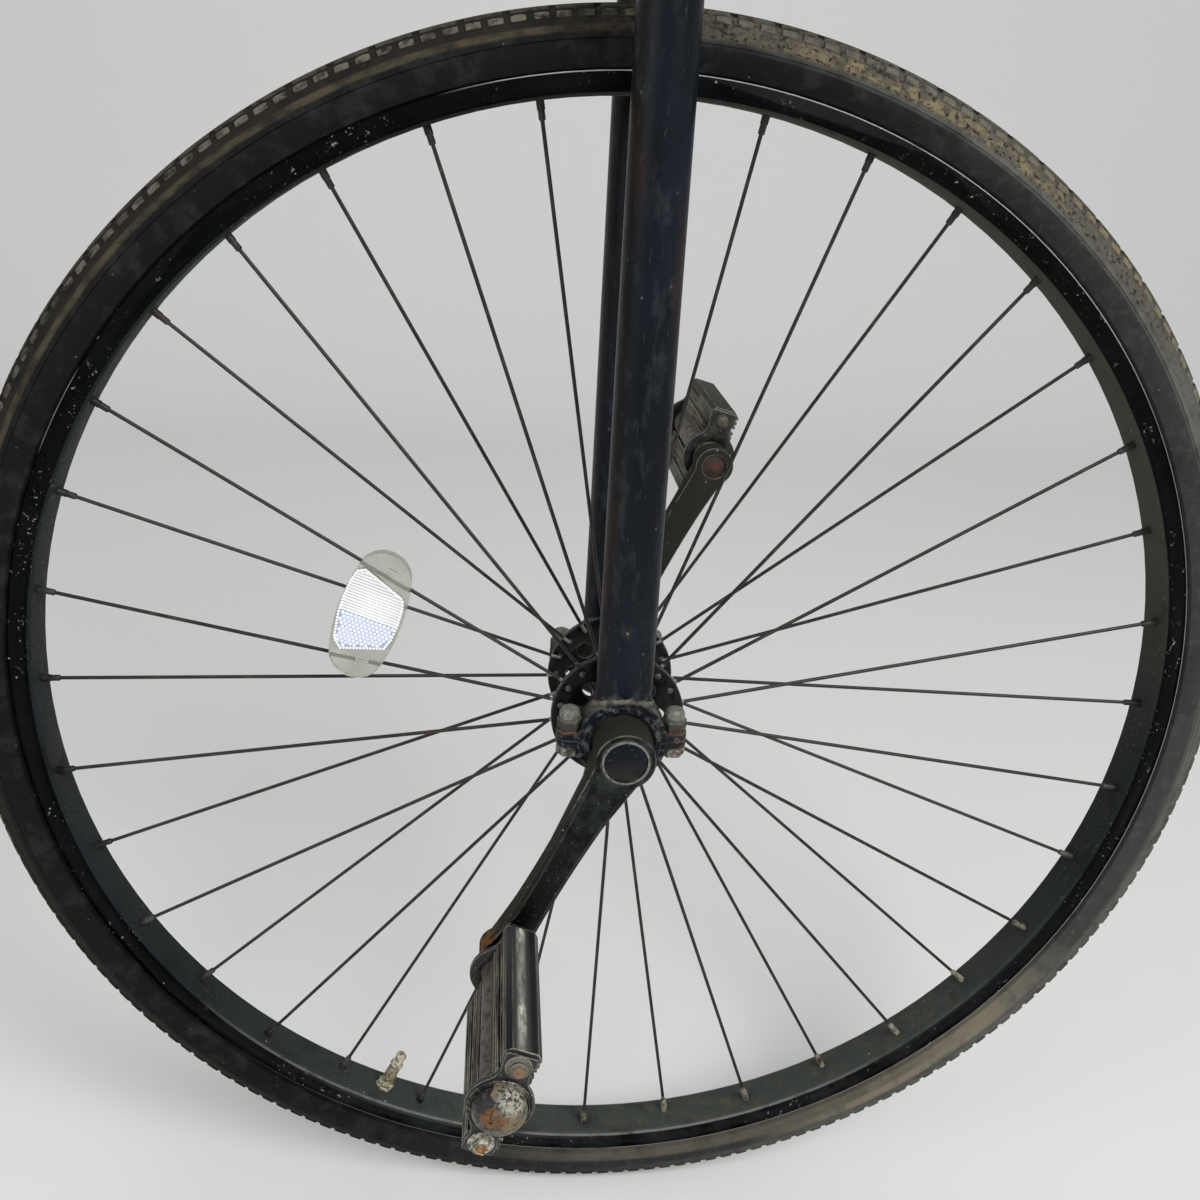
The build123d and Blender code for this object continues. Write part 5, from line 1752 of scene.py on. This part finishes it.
@dataclass
class Pedal:
    """One rubber-block pedal: two blocks, two pressed plates, barrel, dome and riveted rods.

    The profiles of what is turned start at the face of the plate that carries it.
    """

    side: Side
    platform: float
    inner_face: float = 99.3
    outer_face: float = 191.5
    rod_offset: float = 23.0
    block_offset: float = 0.9
    dome_foot: float = 1.6
    dome_radius: float = 12.75
    dome_rise: float = 10.3
    dome_tip: float = 11.95
    crimp: tuple = ((9.5, 1.1), (9.5, 0), (15.0, 0), (15.0, 0.9), (14.6, 1.3), (14.2, 0.9), (13.9, 0.9),
                    (13.6, 1.5), (13.2, 1.5), (12.95, 1.1))
    rivet: tuple = ((0, -1.8), (2.0, -1.7), (3.4, -1.1), (4.1, -0.2), (4.1, 0), (0, 0))
    ring: tuple = ((2.4, 0), (6.2, 0), (6.2, 0.5), (5.8, 0.9), (5.4, 0.4), (4.9, 0.4), (4.6, 1.0),
                   (4.2, 0.7), (2.4, 0.7), (2.4, 0))
    collar: tuple = ((2.4, 0.5), (3.9, 0.5), (3.9, 2.2), (3.5, 2.6), (2.4, 2.6), (2.4, 0.5))
    tip: tuple = ((0, 0), (2.6, 0), (2.6, 3.7), (2.2, 4.15), (0.9, 4.0), (0, 3.8))

    def build(self) -> None:
        """Model and finish the pedal."""
        tag = self.side.tag
        body = f"pedal_{tag}"
        across = in_wheel_plane(self.platform)
        eye = joint_place(f"pedal_{tag}_spin")
        place = site(Vector((eye.x, 0, eye.z)), self.side.outward, across)
        middle = place.translation + across.cross(ACROSS) * self.block_offset * MM
        rubber = PedalRubber(self.side, across, middle).material()
        plate_steel = PlateSteel().material()
        refit(f"pedal_blocks_{tag}", f"rubber_blocks_{tag}", (0.45, 2, 30), rubber, body, "pedal_rubber")
        for node in ("pedal_inner_plate", "pedal_outer_plate"):
            refit(f"{node}_{tag}", f"{node}_pressing_{tag}", (0.5, 2), plate_steel, body, "pedal_steel")
        barrel_steel = ZincSteel(name="barrel_steel_dusty", ground="#565148", bloom="#6a655b", metallic=0.1)
        refit(f"pedal_barrel_{tag}", f"pedal_barrel_tube_{tag}", (0.4, 2), barrel_steel.material(), body,
              "pedal_steel")
        self.dome(raised(place, self.outer_face), body)
        self.fixings(place, body)

    def dome(self, foot: Matrix, body: str) -> None:
        """Press the bearing dome with its crimp rings.

        Args:
            foot: the placing on the outer plate's face.
            body: the body that it rides on.
        """
        turns = [math.radians(angle) for angle in range(4, 91, 7)]
        ball = [(self.dome_radius * math.cos(turn), self.dome_foot + self.dome_rise * math.sin(turn))
                for turn in turns]
        profile = [*self.crimp, *ball, (0, self.dome_tip), (0, 1.1), self.crimp[0]]
        dome = turned(f"bearing_dome_{self.side.tag}", profile, 72, foot, angle=40)
        chrome = PittedChrome(self.side, foot.translation).material()
        dress(dome, chrome, body, "pedal_chrome", f"pedal_dome_{self.side.tag}")

    def fixings(self, place: Matrix, body: str) -> None:
        """Fit the rods with their rivet heads, ring washers, a round nut above and a hexagon below.

        Args:
            place: the pedal's placing.
            body: the body that they ride on.
        """
        span = self.outer_face - self.inner_face
        parts = []
        for way in (-1, 1):
            rod = place @ Matrix.Translation((way * self.rod_offset * MM, 0, 0))
            inner, outer = raised(rod, self.inner_face), raised(rod, self.outer_face)
            parts += [turned("rod", [(0, 0), (2.5, 0), (2.5, span), (0, span)], 20, inner),
                      turned("rivet", self.rivet, 28, inner),
                      turned("ring", self.ring, 36, outer),
                      turned("collar", self.collar, 28, outer) if way > 0 else
                      hexagon("nut", 8.4, 0.5, 3.2, 0.6, outer),
                      turned("tip", self.tip, 24, outer)]
        lower = place @ (Vector((-self.rod_offset, 0, self.outer_face)) * MM)
        steel = PedalFixingSteel(self.side, lower).material()
        dress(join(parts, f"pedal_fixings_{self.side.tag}"), steel, body, "nut_steel",
              f"pedal_rods_{self.side.tag}")


# ---------------------------------------------------------------- reflector and valve


@dataclass
class Reflector:
    """The spoke reflector: a clear body with wire clips, and a prism panel in two fields."""

    radial_place: float = 142.1
    tilt: float = 4.017
    stand: float = 15.536
    turn: float = 3.0
    angle: float = 157.9
    front: float = 6.5
    division: float = 2.2
    rib_pitch: float = 1.6
    rib_cut: float = 0.45
    rib_depth: float = 0.3
    cell_pitch: float = 2.25
    cell_margin: float = 1.4
    bead_pitch: float = 1.75
    bead: tuple = ((0, 0), (0.72, 0), (0.66, 0.3), (0.4, 0.5), (0, 0.55))
    case_rounding: tuple = (0.5, 3)
    clip_size: tuple = (3.4, 1.1, 0.45)
    clip_places: tuple = ((-4.2, 25.6, 8), (-3.2, -27.6, -6))

    @property
    def placing(self) -> Matrix:
        """The reflector's own flat frame: X away from the axle, Z along it, its front towards -Y."""
        seat = Matrix.Translation(AXLE + Vector((self.radial_place, -self.stand, 0)) * MM)
        lean = Matrix.Rotation(math.radians(self.tilt), 4, "Z")
        return turned_about_axle(self.angle) @ seat @ lean @ Matrix.Rotation(-math.radians(self.turn), 4, "Y")

    def build(self) -> None:
        """Model and finish the reflector."""
        clear = ClearPlastic().material()
        refit("reflector_body", "reflector_case", self.case_rounding, clear, "wheel", "clear_plastic")
        frosted = ClearPlastic("moulded_acrylic_frosted", "#dcdcd6", "#f4f4ee", 0.35).material()
        dress(join(self.clips(), "reflector_clips"), frosted, "wheel", "clear_plastic")
        panel = settle(softened("reflector_lens", "reflector_panel", 0.0), self.placing.inverted())
        top = min((face for face in panel.data.polygons if face.normal.y < -0.9), key=lambda face: -face.area)
        points = [panel.data.vertices[v].co / MM for v in top.vertices]
        outline = [Vector((point.x, point.z)) for point in points]
        face = top.center.y / MM
        self.cut_ribs(panel, face)
        ribbed = PrismPlastic(glow=0.12, division=self.placing @ Vector((0, 0, self.division * MM)),
                              down=(self.placing.to_3x3() @ UP).normalized(), pitch=self.rib_pitch)
        cell = hexagon("cell", self.cell_pitch - 0.3, 0, 0.45, 0.3, Matrix())
        cells = self.copies(cell, self.grid(outline), face, "reflector_cells")
        beads = self.copies(turned("bead", self.bead, 10), self.border(outline), face, "reflector_beads")
        for piece, finish in ((settle(panel, self.placing), ribbed),
                              (cells, PrismPlastic("prism_acrylic_cells", "#e9effc")),
                              (beads, PrismPlastic("prism_acrylic_beads"))):
            dress(piece, finish.material(), "wheel", "prism_plastic", "reflector_lens")

    def cut_ribs(self, panel: Piece, face: float) -> None:
        """Cut the grooves between the ribs of the white field.

        Args:
            panel: the panel in its own flat frame.
            face: the place of its front face along Y, in millimetres.
        """
        starts = [self.division - step * self.rib_pitch for step in range(18)]
        take(panel)
        bpy.ops.object.mode_set(mode="EDIT")
        for start in starts:
            for place in (start, start + self.rib_cut):
                bpy.ops.mesh.select_all(action="SELECT")
                bpy.ops.mesh.bisect(plane_co=(0, 0, place * MM), plane_no=(0, 0, 1))
        bpy.ops.object.mode_set(mode="OBJECT")
        mark(panel, [abs(y - face) < 0.1 and any(start < z < start + self.rib_cut for start in starts)
                     for _, y, z in face_centres(panel)])
        bpy.ops.mesh.extrude_region_move(TRANSFORM_OT_translate={"value": (0, self.rib_depth * MM, 0)})
        bpy.ops.object.mode_set(mode="OBJECT")

    def copies(self, shape: Piece, spots: Sequence[Vector], face: float, name: str) -> Piece:
        """Set copies of a small shape on the panel's face.

        Args:
            shape: the shape, standing along Z; it is used up.
            spots: the copies' (x, z) places in millimetres.
            face: the place of the panel's front face along Y, in millimetres.
            name: the joined piece's name.

        Returns:
            The joined piece.
        """
        made = []
        for x, z in spots:
            spot = site(Vector((x, face, z)) * MM, -ACROSS, AHEAD)
            made.append(settle(copy_of(shape, name), self.placing @ spot))
        bpy.data.objects.remove(shape)
        return join(made, name)

    def border(self, outline: Sequence[Vector]) -> list:
        """Places along the panel's outline, one bead pitch apart.

        Args:
            outline: the panel's corners as (x, z) in millimetres.

        Returns:
            The places as (x, z).
        """
        spots = []
        for before, after in zip(outline, outline[1:] + outline[:1]):
            steps = max(1, round((after - before).length / self.bead_pitch))
            spots += [before.lerp(after, step / steps) * 0.985 for step in range(steps)]
        return spots

    def grid(self, outline: Sequence[Vector]) -> list:
        """The honeycomb's cell centres, below the division and well inside the outline.

        Args:
            outline: the panel's corners as (x, z) in millimetres.

        Returns:
            The centres as (x, z).
        """
        pairs = list(zip(outline, outline[1:] + outline[:1]))
        turning = math.copysign(1, sum(a.x * b.y - a.y * b.x for a, b in pairs))
        found = []
        for row in range(18):
            z = self.division + 1.2 + row * self.cell_pitch * math.sqrt(3) / 2
            for step in range(-10, 11):
                spot = Vector(((step + row % 2 / 2) * self.cell_pitch, z))
                if min((b - a).normalized().cross(spot - a) * turning for a, b in pairs) > self.cell_margin:
                    found.append(spot)
        return found

    def clips(self) -> list:
        """Mould the two loops that hold the spokes at the case's ends.

        Returns:
            The two pieces.
        """
        made = []
        for x, z, lean in self.clip_places:
            spot = site(Vector((x, -self.front, z)) * MM, -ACROSS, AHEAD)
            lay_down_tools()
            bpy.ops.mesh.primitive_cube_add(size=2 * MM)
            clip = begin("clip", "FACE")
            bpy.ops.transform.resize(value=self.clip_size)
            bpy.ops.object.mode_set(mode="OBJECT")
            mark(clip, [face.normal.z > 0.9 for face in clip.data.polygons])
            bpy.ops.mesh.inset(thickness=0.5 * MM, depth=0)
            bpy.ops.mesh.inset(thickness=0.1 * MM, depth=-0.5 * MM)
            turn = Matrix.Rotation(math.radians(lean), 4, "Z")
            made.append(settle(close_up(clip), self.placing @ spot @ turn))
        return made


@dataclass
class Valve:
    """The tube's valve: hexagon seat, flared collar, stem, ridged sleeve and cap with its bore."""

    angle: float = 245.0
    bed: float = 310.6
    seat: tuple = ((0, -4.0), (2.9, -4.0), (2.9, 3.4), (4.6, 4.0), (4.9, 5.0), (4.3, 5.4), (4.0, 5.2),
                   (3.9, 12.4), (3.4, 13.0))
    ridges: tuple = (13.2, 14.4, 15.6, 16.8, 18.0)
    cap: tuple = ((3.1, 19.3), (4.1, 19.6), (4.2, 20.6), (3.5, 20.9), (3.1, 21.6), (3.1, 26.4), (3.4, 26.7),
                  (3.4, 27.6), (2.6, 28.6), (1.3, 29.0), (1.1, 27.0), (0, 27.0))

    def build(self) -> None:
        """Turn and finish the valve."""
        spoke_way = in_wheel_plane(self.angle)
        place = site(AXLE + spoke_way * self.bed * MM, -spoke_way, ACROSS)
        ridges = [point for at in self.ridges for point in ((3.1, at), (3.7, at + 0.35), (3.7, at + 0.75))]
        parts = [turned("stem", [*self.seat, *ridges, *self.cap], 32, place),
                 hexagon("base_nut", 10.0, 0, 3.2, 0.4, place)]
        dress(join(parts, "valve_stem"), ValveBrass().material(), "wheel", "valve_brass", "valve")


def main() -> None:
    """Build every sub-assembly in order and report it."""
    logging.basicConfig(level=logging.INFO, format="%(name)s: %(message)s")
    Studio().build()
    Tyre().build()
    Rim().build()
    for side in Side:
        Lacing(side).build()
    Hub().build()
    Fork().build()
    spindle_steel = ZincSteel(name="spindle_steel_rusty", ground="#2c1f18", bloom="#3b2b21", dirt="#1b130e",
                              rust="#54301c", rust_low=0.54, metallic=0.1).material()
    for side, platform in ((Side.LEFT, 70.0), (Side.RIGHT, 74.6)):
        Crank(side).build(spindle_steel)
        Pedal(side, platform).build()
    Reflector().build()
    Valve().build()
    lay_down_tools()


if __name__ == "__main__":
    main()
